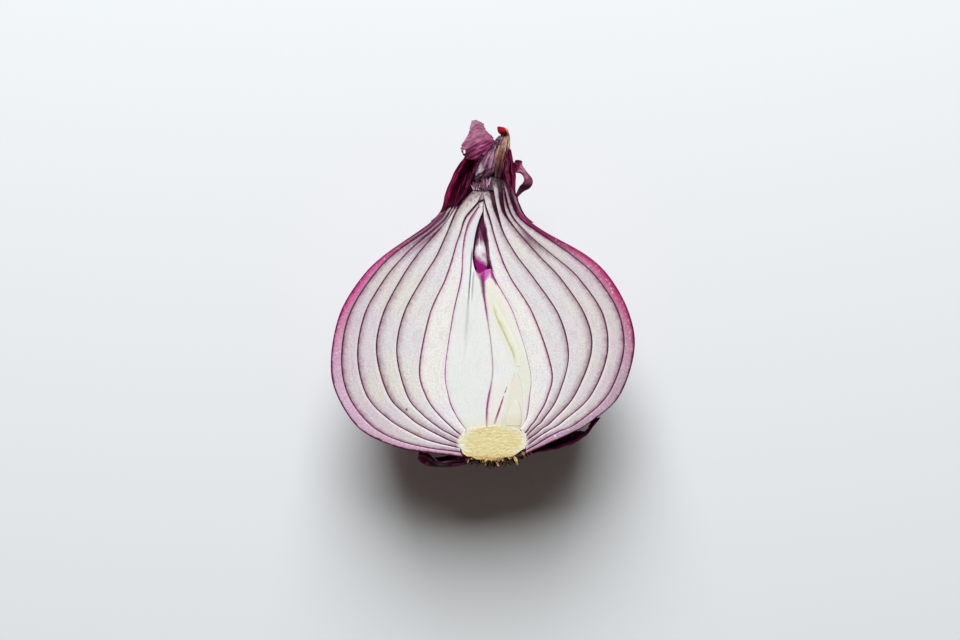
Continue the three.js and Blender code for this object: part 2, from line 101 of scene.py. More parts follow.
# The lines between the scales, each with its left and its right side, from the outside inwards.
LAYER_LINES = [
    (
        [(-5.0, -25.2), (-13.6, -24.2), (-22.1, -22.7), (-31.0, -18.0), (-36.6, -9.2), (-38.0, -1.2),
         (-35.9, 10.2), (-30.6, 19.2), (-24.6, 25.2), (-15.6, 31.4), (-11.9, 34.4), (-10.4, 36.2)],
        [(10.9, -24.6), (16.0, -22.3), (21.5, -19.6), (26.8, -16.7), (34.2, -10.2), (38.0, 1.2),
         (36.9, 10.2), (32.1, 19.2), (26.1, 25.2), (15.6, 31.2), (10.2, 35.4), (8.0, 41.0)],
    ),
    (
        [(-5.5, -24.2), (-13.5, -23.0), (-21.5, -21.0), (-28.4, -16.9), (-33.9, -9.3), (-35.4, -0.2),
         (-33.4, 10.2), (-28.1, 19.2), (-22.6, 25.2), (-14.6, 31.0), (-10.9, 34.0), (-9.4, 36.1)],
        [(10.9, -23.7), (14.6, -21.6), (19.0, -19.2), (23.9, -16.6), (31.4, -9.8), (35.4, 0.5),
         (34.3, 10.2), (29.1, 19.2), (22.5, 25.2), (13.6, 31.2), (9.0, 35.2), (6.9, 41.0)],
    ),
    (
        [(-5.6, -23.2), (-11.0, -21.9), (-16.9, -19.8), (-23.4, -16.0), (-29.2, -9.6), (-31.4, 0.0),
         (-29.6, 10.2), (-24.6, 19.2), (-19.6, 25.2), (-13.4, 30.8), (-9.9, 33.8), (-8.4, 36.2)],
        [(10.9, -22.7), (13.8, -20.6), (16.9, -18.6), (20.4, -16.3), (27.2, -9.8), (31.3, 0.5),
         (30.3, 10.2), (24.5, 19.2), (17.8, 25.2), (10.8, 31.2), (7.4, 35.4), (5.8, 41.1)],
    ),
    (
        [(-5.6, -22.2), (-9.4, -20.7), (-13.6, -18.5), (-18.4, -15.4), (-23.6, -9.8), (-26.6, 1.0),
         (-25.1, 10.2), (-20.6, 19.2), (-16.4, 25.2), (-12.0, 30.4), (-9.0, 33.6), (-7.4, 36.4)],
        [(10.8, -21.6), (12.9, -19.9), (15.1, -18.2), (17.4, -16.4), (23.2, -9.8), (27.4, 1.2),
         (25.8, 10.2), (19.9, 19.2), (14.2, 25.2), (9.0, 31.0), (5.95, 35.6), (5.1, 41.2)],
    ),
    (
        [(-5.4, -21.2), (-8.3, -19.5), (-11.4, -17.7), (-14.9, -14.9), (-19.0, -9.8), (-21.6, 0.5),
         (-19.9, 10.2), (-15.1, 19.2), (-11.6, 25.2), (-9.1, 30.4), (-6.4, 36.6), (-2.6, 41.6)],
        [(10.7, -20.5), (12.1, -19.0), (13.7, -17.5), (15.4, -15.7), (19.1, -9.9), (21.7, 0.2),
         (19.3, 10.2), (13.1, 19.2), (8.6, 25.2), (5.4, 31.0), (4.0, 35.8), (2.8, 41.5)],
    ),
    (
        [(-5.1, -20.2), (-6.7, -18.8), (-8.7, -17.0), (-10.9, -14.9), (-14.2, -10.1), (-15.9, -3.2),
         (-13.4, 10.2), (-9.4, 19.2), (-7.4, 25.2), (-5.8, 30.4), (-4.3, 34.8), (-0.9, 38.9)],
        [(10.6, -19.5), (11.6, -18.3), (12.7, -17.0), (13.9, -15.2), (16.3, -10.4), (17.5, -3.5),
         (12.9, 10.2), (7.5, 19.2), (4.7, 25.2), (2.9, 30.8), (1.7, 35.2), (0.5, 39.4)],
    ),
    (
        [(-4.0, -18.6), (-4.9, -17.4), (-5.9, -16.0), (-6.9, -14.4), (-8.5, -10.3), (-9.4, -3.2),
         (-7.4, 10.2), (-5.4, 19.2), (-5.1, 25.2), (-4.4, 30.4), (-3.2, 34.2), (-0.9, 37.3)],
        [(9.4, -18.2), (10.3, -17.2), (10.9, -16.0), (11.4, -14.0), (11.8, -10.0), (11.9, -3.5),
         (8.0, 10.2), (3.2, 19.2), (1.6, 24.4), (1.0, 30.0), (0.4, 34.4), (0.1, 37.3)],
    ),
]

# Where along its line the left inner side of scale 4 ends, how far along their lines the scales run,
# and the point in the neck where scale 5 closes.
BARE_FROM = 10 / 11
NECK_REACH = {1: 1.02, 2: 1.045, 3: 1.05, 4: 1.055, 5: 1.0, 6: 1.0}
NECK_CLOSE = (0.0, 41.4)

# The line between the hearts, and from there up the left wall of the hollow.
SEAM_LINE = (
    (1.1, -19.0), (1.1, -14.0), (1.5, -10.5), (2.3, -6.5), (2.6, -3.0), (2.2, 2.8), (1.6, 7.2),
    (1.0, 11.0), (0.3, 15.5), (-0.1, 19.0), (-1.6, 21.0), (-2.4, 24.2), (-2.2, 27.7), (-1.6, 31.2),
    (-0.8, 34.0), (0.1, 36.2), (0.8, 39.0),
)
HEART_FOOT = -18.7
HEART_TOP = 37.2
RIGHT_TIP = (19.0, 21.8)

# The flesh colours of scales 2 to 6, pale, warm and hazy, and how far in and how strongly the haze reaches.
FLESH_TONES = {
    2: ((218, 203, 211), (220, 211, 210), (142, 92, 120)),
    3: ((223, 214, 220), (226, 219, 214), (150, 106, 128)),
    4: ((228, 222, 225), (230, 226, 218), (144, 102, 120)),
    5: ((229, 225, 228), (232, 229, 223), (154, 102, 126)),
    6: ((239, 237, 238), (243, 241, 234), (186, 108, 152)),
}
HAZE_WIDTHS = {2: 2.3, 3: 2.5, 4: 3.0, 5: 2.7, 6: 1.9}
HAZE_STRENGTHS = {2: 0.95, 3: 0.85, 4: 0.85, 5: 0.72, 6: 0.55}

# The outlines of the other pieces, each with its left and its right side, seen from above.
PLATE_LINE = (
    [(2.4, -25.9), (-0.6, -25.7), (-3.2, -25.2), (-4.9, -24.2), (-5.8, -22.6), (-5.5, -20.6), (-4.4, -19.0),
     (-2.2, -17.9), (2.6, -17.5)],
    [(2.4, -25.9), (5.2, -25.6), (8.0, -24.8), (10.0, -23.6), (10.9, -22.2), (10.9, -20.5), (10.0, -18.9),
     (7.4, -17.8), (2.6, -17.5)],
)
SPROUT_LINE = (
    [(7.9, -2.4), (7.2, 0.7), (4.9, 5.8), (3.0, 10.2), (2.2, 14.6)],
    [(9.7, -2.6), (9.5, 0.9), (7.4, 6.2), (4.6, 11.2), (2.6, 15.0)],
)
BUD_LINE = (
    [(3.6, -18.5), (4.2, -15.6), (5.4, -11.0), (6.8, -7.0), (8.2, -3.2)],
    [(9.4, -18.5), (10.3, -15.4), (10.6, -11.6), (10.1, -7.0), (8.6, -3.2)],
)
BUD_CORE_LINE = (
    [(5.5, -17.4), (5.6, -15.6), (6.2, -13.6), (7.1, -11.8), (8.2, -10.8)],
    [(9.7, -17.4), (10.0, -15.6), (9.9, -13.6), (9.5, -12.0), (8.7, -10.9)],
)

INNER_TIP_LINE = (
    [(-0.5, 18.9), (-1.3, 20.6), (-2.0, 23.0), (-2.1, 25.2), (-1.9, 27.6), (-1.4, 30.0), (-0.9, 32.4)],
    [(-0.3, 18.9), (0.6, 20.4), (1.3, 22.0), (1.2, 24.2), (0.8, 27.0), (0.2, 30.0), (-0.6, 32.4)],
)
SHEATH_OUTSIDE = (
    [(-13.0, 33.75), (-11.3, 35.1), (-9.9, 37.2), (-9.2, 40.0), (-8.4, 42.6),
     (-7.0, 45.8), (-5.4, 48.3), (-4.1, 50.2)],
    [(12.9, 33.3), (10.9, 35.1), (9.4, 37.6), (8.7, 40.0), (8.35, 42.4),
     (8.45, 45.1), (8.05, 48.0), (7.0, 52.0)],
)
SHEATH_INSIDE = (
    [(-12.9, 33.65), (-10.9, 34.9), (-9.0, 36.9), (-8.0, 39.6), (-7.2, 42.4),
     (-6.0, 45.4), (-4.5, 48.0), (-3.3, 50.0)],
    [(12.8, 33.2), (10.7, 34.9), (9.0, 37.4), (8.2, 40.0), (7.6, 42.4),
     (7.5, 45.1), (7.3, 48.0), (6.4, 51.8)],
)
INNER_SHEATH_OUTSIDE = (
    [(-7.6, 36.6), (-5.7, 39.4), (-4.3, 42.0), (-3.2, 44.4), (-2.2, 46.8), (-1.2, 49.0), (-0.2, 50.6)],
    [(7.4, 38.0), (7.2, 41.0), (7.0, 43.6), (6.9, 46.0), (6.9, 48.4), (6.7, 50.4), (6.1, 52.4)],
)
INNER_SHEATH_INSIDE = (
    [(-7.2, 36.2), (-4.9, 39.2), (-3.5, 41.8), (-2.5, 44.2), (-1.5, 46.6), (-0.6, 48.8), (0.2, 50.4)],
    [(7.0, 38.0), (6.4, 41.0), (5.9, 43.6), (5.7, 46.0), (5.8, 48.4), (5.7, 50.4), (5.5, 52.2)],
)
LEAF_LINE = (
    [(-1.6, 43.4), (-2.3, 44.4), (-2.1, 46.0), (-1.4, 48.2), (0.0, 50.6), (1.5, 52.6), (2.7, 54.0)],
    [(-1.2, 43.4), (2.2, 45.2), (3.3, 46.6), (3.5, 48.4), (3.7, 50.6), (4.0, 52.6), (3.4, 54.2)],
)
STUB_LINE = (
    [(3.0, 42.4), (2.9, 44.4), (3.1, 46.6), (3.4, 49.0), (3.6, 51.2),
     (4.1, 53.4), (4.9, 55.1), (5.9, 56.4)],
    [(4.2, 42.4), (4.8, 44.4), (5.2, 46.6), (5.7, 49.0), (6.4, 51.2),
     (6.9, 53.4), (7.0, 55.2), (6.5, 56.6)],
)
TIP_LINE = (
    [(5.5, 55.1), (4.5, 55.4), (3.8, 56.2), (3.45, 57.1)],
    [(6.3, 55.2), (6.6, 56.0), (6.1, 57.0), (4.2, 57.7)],
)
FLAKE_LINE = (
    [(3.2, 52.4), (3.1, 53.8), (3.8, 54.9), (4.8, 55.5)],
    [(4.7, 52.3), (5.2, 53.7), (5.5, 54.5), (5.4, 55.1)],
)
FLAP_LINE = (
    [(-4.0, 49.2), (-4.8, 50.2), (-5.3, 51.4), (-5.1, 52.7), (-4.2, 54.1),
     (-3.3, 55.9), (-3.05, 57.2), (-2.7, 58.7)],
    [(-0.9, 49.3), (0.7, 50.6), (2.5, 52.9), (2.8, 54.4), (1.3, 55.8),
     (0.5, 57.0), (0.2, 57.9), (-1.6, 58.9)],
)
FLAP_FOLD = ((-3.9, 51.7), (1.6, 54.6))
FLAP_CREASE = ((-3.2, 56.4), (-0.6, 58.1))
FLAP_HOLE = (-4.5, 51.0)
FLAP_HOLE_RADII = (0.28, 0.5)
CURL_LINE = (
    [(7.4, 47.4), (8.2, 46.0), (9.1, 45.8), (9.9, 45.3), (10.4, 44.2),
     (10.1, 43.3), (9.3, 42.5), (8.8, 41.5), (8.2, 39.8)],
    [(8.3, 49.0), (9.8, 48.7), (10.0, 47.6), (11.1, 46.0), (12.4, 44.5),
     (12.6, 43.3), (11.8, 42.1), (10.2, 41.3), (8.3, 39.4)],
)
LEFT_SKIN_LINE = (
    [(-2.8, -25.5), (-4.9, -25.9), (-8.0, -26.2), (-10.6, -26.4),
     (-12.4, -25.5), (-14.0, -24.4), (-16.2, -24.8)],
    [(-2.8, -26.9), (-4.9, -27.4), (-8.0, -27.9), (-10.6, -28.0),
     (-12.6, -27.9), (-14.4, -27.4), (-16.2, -26.2)],
)

# The middle and the half sizes of the root plate, and the middle of the blemish on the left.
PLATE_MIDDLE = (2.55, -21.7)
PLATE_RADII = (8.35, 4.2)
BLEMISH = (-18.95, -13.4)

# How strongly wet flesh bends light.
FLESH_IOR = 1.36

# Light, floor and camera, in metres, watts and the millimetres of a film camera.
FLOOR_SIZE = 3.0
WORLD_STRENGTH = 0.082
WINDOW_SIZES = (0.95, 1.05)
WINDOW_PLACE = (-0.05, 1.05, 1.04)
WINDOW_ENERGY = 32.0
LENS = 50.0
FILM_WIDTH = 36.0
VIEW_WIDTH = 0.240
VIEW_MIDDLE = (-0.6 * MM, 9.0 * MM)
FLOOR_DROP = 0.02 * MM


# Lines and sections

def spline(points, at):
    """A point of the smooth line through the points, at a place from 0 to 1; past 1 it runs on straight."""
    if at > 1:
        last = Vector(points[-1])
        return last + (last - Vector(points[-2])) * (at - 1) * (len(points) - 1)
    place = min(max(at, 0.0), 1.0) * (len(points) - 1)
    first = min(int(place), len(points) - 2)
    part = place - first
    before, start, end, after = (
        Vector(points[min(max(first + step, 0), len(points) - 1)]) for step in (-1, 0, 1, 2)
    )
    leave = (end - before) / 2
    arrive = (after - start) / 2
    return (
        (2 * start - 2 * end + leave + arrive) * part ** 3
        + (3 * end - 3 * start - 2 * leave - arrive) * part ** 2
        + leave * part
        + start
    )


def edge(points, at, grow, side):
    """A point of an outline, moved outwards by grow; side is -1 on the left and 1 on the right."""
    step = 1e-3
    along = (spline(points, at + step) - spline(points, at - step)).normalized()
    outwards = Vector((along.y, -along.x)) * side
    return spline(points, at) * MM + outwards * grow


def both_sides(outline, at, grow=0.0):
    """The left and right points of an outline, both moved outwards by grow."""
    return [edge(line, at, grow, side) for line, side in zip(outline, (-1, 1))]


def place_at(points, height):
    """The place along a rising line where its second number reaches the height."""
    low, high = 0.0, 1.0
    for _ in range(24):
        middle = (low + high) / 2
        if spline(points, middle).y < height:
            low = middle
        else:
            high = middle
    return (low + high) / 2


@lru_cache(maxsize=None)
def across_at(points, height):
    """How far across a rising line is at that height, in millimetres."""
    return spline(points, place_at(points, height)).x


def rough(*place):
    """A smooth random number from about -1 to 1, always the same at the same place."""
    return noise.noise(Vector(place))


def smoothstep(low, high, value):
    part = min(max((value - low) / (high - low), 0.0), 1.0)
    return part * part * (3 - 2 * part)


def waver(number, at, side):
    """A small seeded unevenness, shared by the two shells that meet at a line."""
    return WOBBLE * rough(at * 11, number * 3.7 + 0.5, side * 5.3)


@lru_cache(maxsize=None)
def section(number, at, grow):
    """The left and right points of a layer line, at a place along the onion."""
    left, right = LAYER_LINES[number]
    left_at = min(at, BARE_FROM) if number == 4 and grow > 0 else at
    ends = (
        edge(left, left_at, grow + waver(number, left_at, -1), -1),
        edge(right, at, grow + waver(number, at, 1), 1),
    )
    if number == 5 and grow > 0:
        # Scale 5 closes over the point of scale 6.
        closing = smoothstep(0.985, 1.0, at)
        return tuple(end.lerp(Vector(NECK_CLOSE) * MM, closing) for end in ends)
    return ends


def round_point(left, right, angle, middle=CUT, flatness=1.0):
    """A point of the round section with left to right as its diameter, a half turn below it."""
    turn = (1 - math.cos(angle)) / 2
    point = right.lerp(left, turn)
    radius = (right - left).length / 2
    return Vector((point.x, point.y, middle - radius * flatness * math.sin(angle)))


def is_on_cut(around):
    """Whether a point of a half body lies on the cut face, at the start or the end of its half turn."""
    return around < 1e-5 or around > 1 - 1e-5


# Modelling

def deselect():
    if bpy.context.object and bpy.context.object.mode != "OBJECT":
        bpy.ops.object.mode_set(mode="OBJECT")
    bpy.ops.object.select_all(action="DESELECT")


def activate(piece):
    deselect()
    piece.select_set(True)
    bpy.context.view_layer.objects.active = piece


@contextmanager
def editing(piece, parts=None, is_wanted=None):
    """Opens one piece for editing, with all of it selected, or only its parts that are wanted."""
    activate(piece)
    bpy.ops.object.mode_set(mode="EDIT")
    bpy.ops.mesh.select_all(action="DESELECT" if parts else "SELECT")
    if parts:
        bpy.ops.object.mode_set(mode="OBJECT")
        for part in getattr(piece.data, parts):
            part.select = is_wanted(part)
        bpy.ops.object.mode_set(mode="EDIT")
    yield
    bpy.ops.object.mode_set(mode="OBJECT")


def flat_stock(name, across, along):
    """A flat square of stock, one unit wide, with its middle at the origin."""
    deselect()
    bpy.ops.mesh.primitive_grid_add(x_subdivisions=across, y_subdivisions=along, size=1)
    piece = bpy.context.object
    piece.name = name
    return piece


def turned_stock(name, across, along, around, turn=math.pi, inside=1.0):
    """A strip of stock, spun round an axis: across its wall, along the axis and round it."""
    piece = flat_stock(name, across, along)
    with editing(piece):
        bpy.ops.transform.translate(value=(inside + 0.5, 0.5, 0))
        bpy.ops.mesh.spin(steps=around, angle=turn, center=(0, 0, 0), axis=(0, 1, 0))
        bpy.ops.mesh.remove_doubles(threshold=1e-5)
    for vertex in piece.data.vertices:
        x, y, z = vertex.co
        angle = math.atan2(z, x) if math.hypot(x, z) > 1e-4 else 0.0
        angle = angle + 2 * math.pi if angle < -1e-4 else max(angle, 0.0)
        vertex.co = (math.hypot(x, z) - inside, y, angle / turn)
    return piece


def ball_stock(name, around, along):
    """A ball of stock: its places are 1 across, 0 to 1 along and 0 to 1 round it."""
    deselect()
    bpy.ops.mesh.primitive_uv_sphere_add(segments=around, ring_count=along, radius=1)
    piece = bpy.context.object
    piece.name = name
    for vertex in piece.data.vertices:
        x, y, z = vertex.co
        angle = math.atan2(y, x) if math.hypot(x, y) > 1e-5 else 0.0
        fallen = math.acos(min(max(z, -1.0), 1.0))
        vertex.co = (1.0, fallen / math.pi, (angle % (2 * math.pi)) / (2 * math.pi))
    return piece


def shape(piece, place):
    """Carries each point of the stock to its place on the onion, and closes the poles.

    The function place gives the point, and the numbers that its finish reads there."""
    mesh = piece.data
    layer = mesh.attributes.new("layer", "FLOAT_VECTOR", "POINT")
    wrap = mesh.attributes.new("wrap", "FLOAT_VECTOR", "POINT")
    for vertex in mesh.vertices:
        stock_place = tuple(vertex.co)
        point, reading = place(*stock_place)
        wrap.data[vertex.index].vector = stock_place
        layer.data[vertex.index].vector = reading
        vertex.co = point
    return close(piece)


def is_inside_out(piece):
    mesh = bmesh.new()
    mesh.from_mesh(piece.data)
    volume = mesh.calc_volume(signed=True)
    mesh.free()
    return volume < 0


def close(piece, angle=35):
    """Merges doubled points, turns all faces outwards and smooths the shading."""
    with editing(piece):
        bpy.ops.mesh.remove_doubles(threshold=2e-6)
        bpy.ops.mesh.dissolve_degenerate(threshold=1e-7)
        bpy.ops.mesh.normals_make_consistent(inside=False)
    if is_inside_out(piece):
        with editing(piece):
            bpy.ops.mesh.flip_normals()
    bpy.ops.object.shade_smooth_by_angle(angle=math.radians(angle))
    return piece


def fit(piece, node, finish=None):
    """Gives a piece its finish, where it has only one, and its place in the frame."""
    if finish:
        piece.data.materials.append(finish)
    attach(piece, "root")
    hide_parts(node)


# Finishes

def colour(red, green, blue):
    """A colour as it looks by daylight, from 0 to 255, for a shader."""
    shares = [part / 255 for part in (red, green, blue)]
    linear = [s / 12.92 if s <= 0.04045 else ((s + 0.055) / 1.055) ** 2.4 for s in shares]
    return (*linear, 1.0)


def operation(kind, swapped=False):
    """One way to reckon with the values of a material."""

    def reckon(self, other=0.0):
        first, second = (other, self) if swapped else (self, other)
        return self.finish.node("Math", 0, {0: first, 1: second}, operation=kind)

    return reckon


class Value:
    """A number, vector or colour inside a material; numbers are reckoned with like plain ones."""

    __add__ = operation("ADD")
    __sub__ = operation("SUBTRACT")
    __rsub__ = operation("SUBTRACT", swapped=True)
    __mul__ = operation("MULTIPLY")
    __truediv__ = operation("DIVIDE")
    __pow__ = operation("POWER")
    __abs__ = operation("ABSOLUTE")
    most = operation("MAXIMUM")

    def __init__(self, finish, socket):
        self.finish = finish
        self.socket = socket

    def step(self, low, high, start=0.0, end=1.0):
        """Goes smoothly from start to end as the value goes from low to high."""
        inputs = {"Value": self, "From Min": low, "From Max": high, "To Min": start, "To Max": end}
        return self.finish.node("MapRange", "Result", inputs, interpolation_type="SMOOTHSTEP")


class Finish:
    """A material, built up from a body colour and what is laid over it."""

    def __init__(self, name, **sockets):
        self.material = bpy.data.materials.new(name)
        self.material.use_nodes = True
        self.tree = self.material.node_tree
        self.shader = self.tree.nodes["Principled BSDF"]
        self.body = None
        self.set(**sockets)

    def set(self, **sockets):
        for name, value in sockets.items():
            self.put(value, self.shader.inputs[name.replace("_", " ")])

    def put(self, value, socket):
        if isinstance(value, Value):
            self.tree.links.new(value.socket, socket)
        else:
            socket.default_value = colour(*value) if socket.type == "RGBA" else value

    def node(self, kind, output, inputs, **settings):
        """Adds a node with its settings, joins its inputs and gives one of its outputs."""
        node = self.tree.nodes.new("ShaderNode" + kind)
        for name, value in settings.items():
            setattr(node, name, value)
        for name, value in inputs.items():
            self.put(value, node.inputs[name])
        return Value(self, node.outputs[output])

    def parts(self, vector):
        split = self.node("SeparateXYZ", 0, {0: vector}).socket.node
        return [Value(self, part) for part in split.outputs]

    def reading(self, name="layer"):
        """The three numbers that a piece carries under that name."""
        return self.parts(self.node("Attribute", "Vector", {}, attribute_name=name))

    def place(self):
        """Where a point is, in millimetres."""
        return [part / MM for part in self.parts(self.node("TexCoord", "Object", {}))]

    def vector(self, *numbers):
        return self.node("CombineXYZ", 0, dict(enumerate(numbers)))

    def noise(self, scale, detail=3.0, roughness=0.5, at=None):
        """Clouds from 0 to 1: scale to the metre in space, or to the unit where three numbers are given."""
        vector = self.vector(*at) if at else self.node("TexCoord", "Object", {})
        inputs = {"Vector": vector, "Scale": scale, "Detail": detail, "Roughness": roughness}
        return self.node("TexNoise", "Fac", inputs)

    def mix(self, part, first, second, blend="MIX"):
        inputs = {"Factor": part, 6: first, 7: second}
        return self.node("Mix", 2, inputs, data_type="RGBA", blend_type=blend)

    def lay(self, tint, part):
        """Lays a colour over the body colour, as far as part says."""
        self.body = self.mix(part, self.body, tint)

    def done(self, relief, depth, strength, **sockets):
        """Puts the body colour and a relief on the shader, and gives the material."""
        bump = self.node("Bump", "Normal", {"Height": relief, "Distance": depth, "Strength": strength})
        self.set(Base_Color=self.body, Normal=bump, **sockets)
        return self.material


def wet_flesh(finish, strength, dull=0.0):
    """Cells, juice and light inside the flesh, laid over its colour, with painted glints as pale specks;
    where dull is 1 there is no painted glint.
    """
    cells = finish.noise(2100, 2.0, 0.6)
    grains_and_glints = finish.noise(1500, 4.0, 0.75)
    shade = cells.step(0.3, 0.7, 1.0 - 0.06 * strength, 1.0 + 0.05 * strength)
    finish.body = finish.mix(1.0, finish.body, finish.vector(shade, shade, shade), "MULTIPLY")
    # Painted glints: pale specks laid into the colour where the flesh catches the light.
    finish.lay((246, 240, 243), grains_and_glints.step(0.56, 0.7) * min(0.32 * strength, 0.8) * (1.0 - dull))
    return finish.done(
        cells + grains_and_glints, 0.05 * MM, 0.5,
        Roughness=grains_and_glints.step(0.4, 0.65, 0.5, 0.25),
        Subsurface_Weight=0.08,
        Subsurface_Radius=(1.0, 0.75, 0.7),
        Subsurface_Scale=0.35 * MM,
        IOR=FLESH_IOR,
        Specular_IOR_Level=0.25,
    )


def neck_mould(finish, drift, start):
    """Towards the neck the flesh dries: it greys a little from start on, and spots of mould show."""
    _, y, _ = finish.place()
    height = drift * 2.5 + y
    finish.lay((150, 120, 124), height.step(start, start + 8, 0.0, 0.6))
    specks = finish.noise(1100, 3.0, 0.7).step(0.5, 0.62)
    finish.lay((84, 72, 80), specks * height.step(start + 1.5, start + 7, 0.0, 0.8))


def shaded_neck_end(finish, drift):
    """The very end of the flesh in the neck is painted near black: painted shade under the overhanging leaf,
    with dark mould.
    """
    _, y, _ = finish.place()
    finish.lay((52, 34, 42), (drift * 1.6 + y).step(41.6, 43.8, 0.0, 0.92))


def dry_shoulder(finish, outer, side, dark, light):
    """Where the scales run together beside the neck they are dry and dark, in thin layers."""
    x, y, _ = finish.place()
    layers = finish.noise(1.0, at=(outer * 2.6, y * 0.09, side))
    part = (x * side).step(8, 12) * y.step(23, 31, 0.0, 0.95)
    finish.lay(finish.mix(layers.step(0.42, 0.6), dark, light), part)


def away(finish, middle, radii=(1.0, 1.0)):
    """How far a point is from a middle, in millimetres, or as a share of an ellipse's radii."""
    beside, above, _ = finish.place()
    beside = (beside - middle[0]) / radii[0]
    above = (above - middle[1]) / radii[1]
    return (beside * beside + above * above) ** 0.5


def shell_flesh(number):
    """The cut edge of a fleshy scale: a dark line on its outer side, with a haze that fades inwards."""
    finish = Finish(f"flesh_{number}")
    pale, warm, haze_tint = FLESH_TONES[number]
    outer, inner, _ = finish.reading()
    x, y, _ = finish.place()
    drift = finish.noise(650, 4.0, 0.65) - 0.5
    neck = y.step(25, 37)
    streaks = finish.noise(2.2, 4.0, 0.6, at=(outer, y * 0.13, 0.0))
    finish.body = finish.mix(finish.noise(85, 2.0).step(0.38, 0.62), pale, warm)
    finish.lay(haze_tint, streaks.step(0.44, 0.74, 0.0, 0.2))
    finish.lay((238, 235, 236), inner.step(0.0, 1.0, 0.45, 0.0))
    neck_mould(finish, drift, 36.5 if number == 4 else 34.0)
    haze = (drift * 1.9 + outer).step(-0.3, HAZE_WIDTHS[number], 1.0, 0.0) ** 1.5
    finish.lay(finish.mix(neck, haze_tint, (122, 52, 86)), haze * HAZE_STRENGTHS[number])
    ink = finish.mix(y.step(-4, -17, 0.0, 0.8), (88, 26, 58) if number < 6 else (128, 36, 92), (136, 60, 112))
    ink = finish.mix(neck, ink, (52, 0, 26))
    swell = y.step(29, 41)
    thickest = (0.4, 0.8)
    if number in (4, 5):
        # These two lines swell more than the others, in the right side of the neck.
        swell = swell * x.step(-1, 1, 0.2, 1.0)
        thickest = (0.95, 1.45)
    solid, width = (swell.step(0.0, 1.0, thin, thick) for thin, thick in zip((0.14, 0.5), thickest))
    near_plate = away(finish, PLATE_MIDDLE, PLATE_RADII)
    line = (drift * 0.22 + outer).step(solid, width, 1.0, 0.0) * near_plate.step(1.0, 1.14)
    finish.lay(ink, line)
    if number == 6:
        # The hollow's right wall shows its dark skin at the cut.
        wall = (drift * 0.4 + inner).step(0.2, 0.5, 0.95, 0.0)
        finish.lay((96, 8, 54), wall * y.step(20, 22) * y.step(34.5, 32) * x.step(-1, 0))
    if number < 4:
        dry_shoulder(finish, outer, -1, (84, 30, 62), (170, 132, 152))
    if number == 3:
        dry_shoulder(finish, outer, 1, (84, 30, 62), (150, 104, 130))
    if number == 4:
        finish.lay((112, 72, 40), (drift * 0.5 + away(finish, BLEMISH)).step(0.15, 0.4, 0.85, 0.0))
    finish.lay((238, 232, 214), near_plate.step(1.12, 0.98))
    shaded_neck_end(finish, drift)
    return wet_flesh(finish, 1.5, line)


def outer_flesh():
    """The outermost scale is magenta right through, darkest at its rim and near the neck."""
    finish = Finish("outer_flesh")
    outer, _, _ = finish.reading()
    x, y, _ = finish.place()
    drift = finish.noise(420, 4.0, 0.65) - 0.5
    ragged = drift * 1.5 + outer
    upper = y.step(-9, 20)
    right = x.step(-5, 30)
    foot = y.step(-13, -22)
    lilac = finish.mix(right, (218, 186, 208), (186, 160, 174))
    lilac = finish.mix(foot, lilac, finish.mix(right, (206, 170, 188), (158, 128, 146)))
    lilac = finish.mix(finish.noise(120, 2.0).step(0.35, 0.65, 0.0, 0.5), lilac, (204, 158, 190))
    finish.body = finish.mix(upper, lilac, finish.mix(right, (204, 76, 146), (190, 52, 116)))
    finish.lay(finish.mix(right, (220, 186, 206), (204, 176, 192)), ragged.step(0.6, 2.9, 0.0, 0.5))
    rim = ragged.step(0.0, upper * 0.3 + (foot * -0.15 + 0.85), 1.0, 0.0)
    rim_tint = finish.mix(foot, (104, 28, 80), (66, 10, 44))
    finish.lay(finish.mix(upper, rim_tint, (140, 8, 84)), rim)
    skin = (drift * 0.3 + outer).step(0.2, 0.55, 0.95, 0.0)
    finish.lay(finish.mix(upper, (96, 18, 66), (128, 6, 74)), skin)
    dry_shoulder(finish, outer, -1, (88, 22, 62), (150, 96, 128))
    dry_shoulder(finish, outer, 1, (116, 12, 66), (140, 50, 96))
    neck_layers = finish.mix(ragged.step(0.3, 0.7), (136, 104, 122), (58, 4, 32))
    finish.lay(neck_layers, y.step(33.5, 37.5))
    shaded_neck_end(finish, drift)
    return wet_flesh(finish, 2.6, rim.most(y.step(24, 32)))


def onion_skin(name, dark, light):
    """The shiny outside of a scale, with fine veins from the root to the neck."""
    finish = Finish(name)
    _, along, around = finish.reading("wrap")
    veins = finish.noise(1.6, 3.0, 0.6, at=(around * 46, along, 0.0))
    fine = finish.noise(1.0, at=(around * 190, along * 3, 0.0))
    finish.body = finish.mix(finish.noise(90).step(0.3, 0.72, 0.15, 0.7), dark, light)
    finish.lay(light, veins.step(0.4, 0.66, 0.0, 0.4))
    finish.lay(dark, fine.step(0.5, 0.72, 0.0, 0.45))
    poles = along.step(0.0, 0.16) * along.step(1.0, 0.8)
    finish.body = finish.mix(poles, dark, finish.body)
    return finish.done(
        veins + fine, 0.12 * MM, 0.5,
        Roughness=veins.step(0.4, 0.7, 0.3, 0.48),
        Coat_Weight=0.25,
        Coat_Roughness=0.25,
    )


def heart_flesh(name, tint):
    """The white flesh of a heart, and what its lines are drawn from."""
    finish = Finish(name)
    outer, seam, height = finish.reading()
    drift = finish.noise(700, 4.0, 0.65) - 0.5
    streaks = finish.noise(2.6, 4.0, 0.6, at=(outer, height * 0.08, 0.0))
    finish.body = finish.mix(finish.noise(110).step(0.36, 0.66), (240, 241, 239), tint)
    finish.lay((220, 218, 219), streaks.step(0.45, 0.72, 0.0, 0.35))
    finish.lay((222, 223, 227), height.step(20.0, 31.0, 0.0, 0.7))
    return finish, outer, seam, height, drift


def heart_seam(finish, seam, height, drift, tint, strength):
    """The magenta line at the seam of the two hearts, wider and darker towards the hollow."""
    line = (drift * 0.3 + seam).step(0.04, height.step(13.0, 19.0, 0.42, 0.95), 0.9, 0.0)
    finish.lay(finish.mix(height.step(12.0, 18.0), tint, (112, 8, 78)), line * strength)


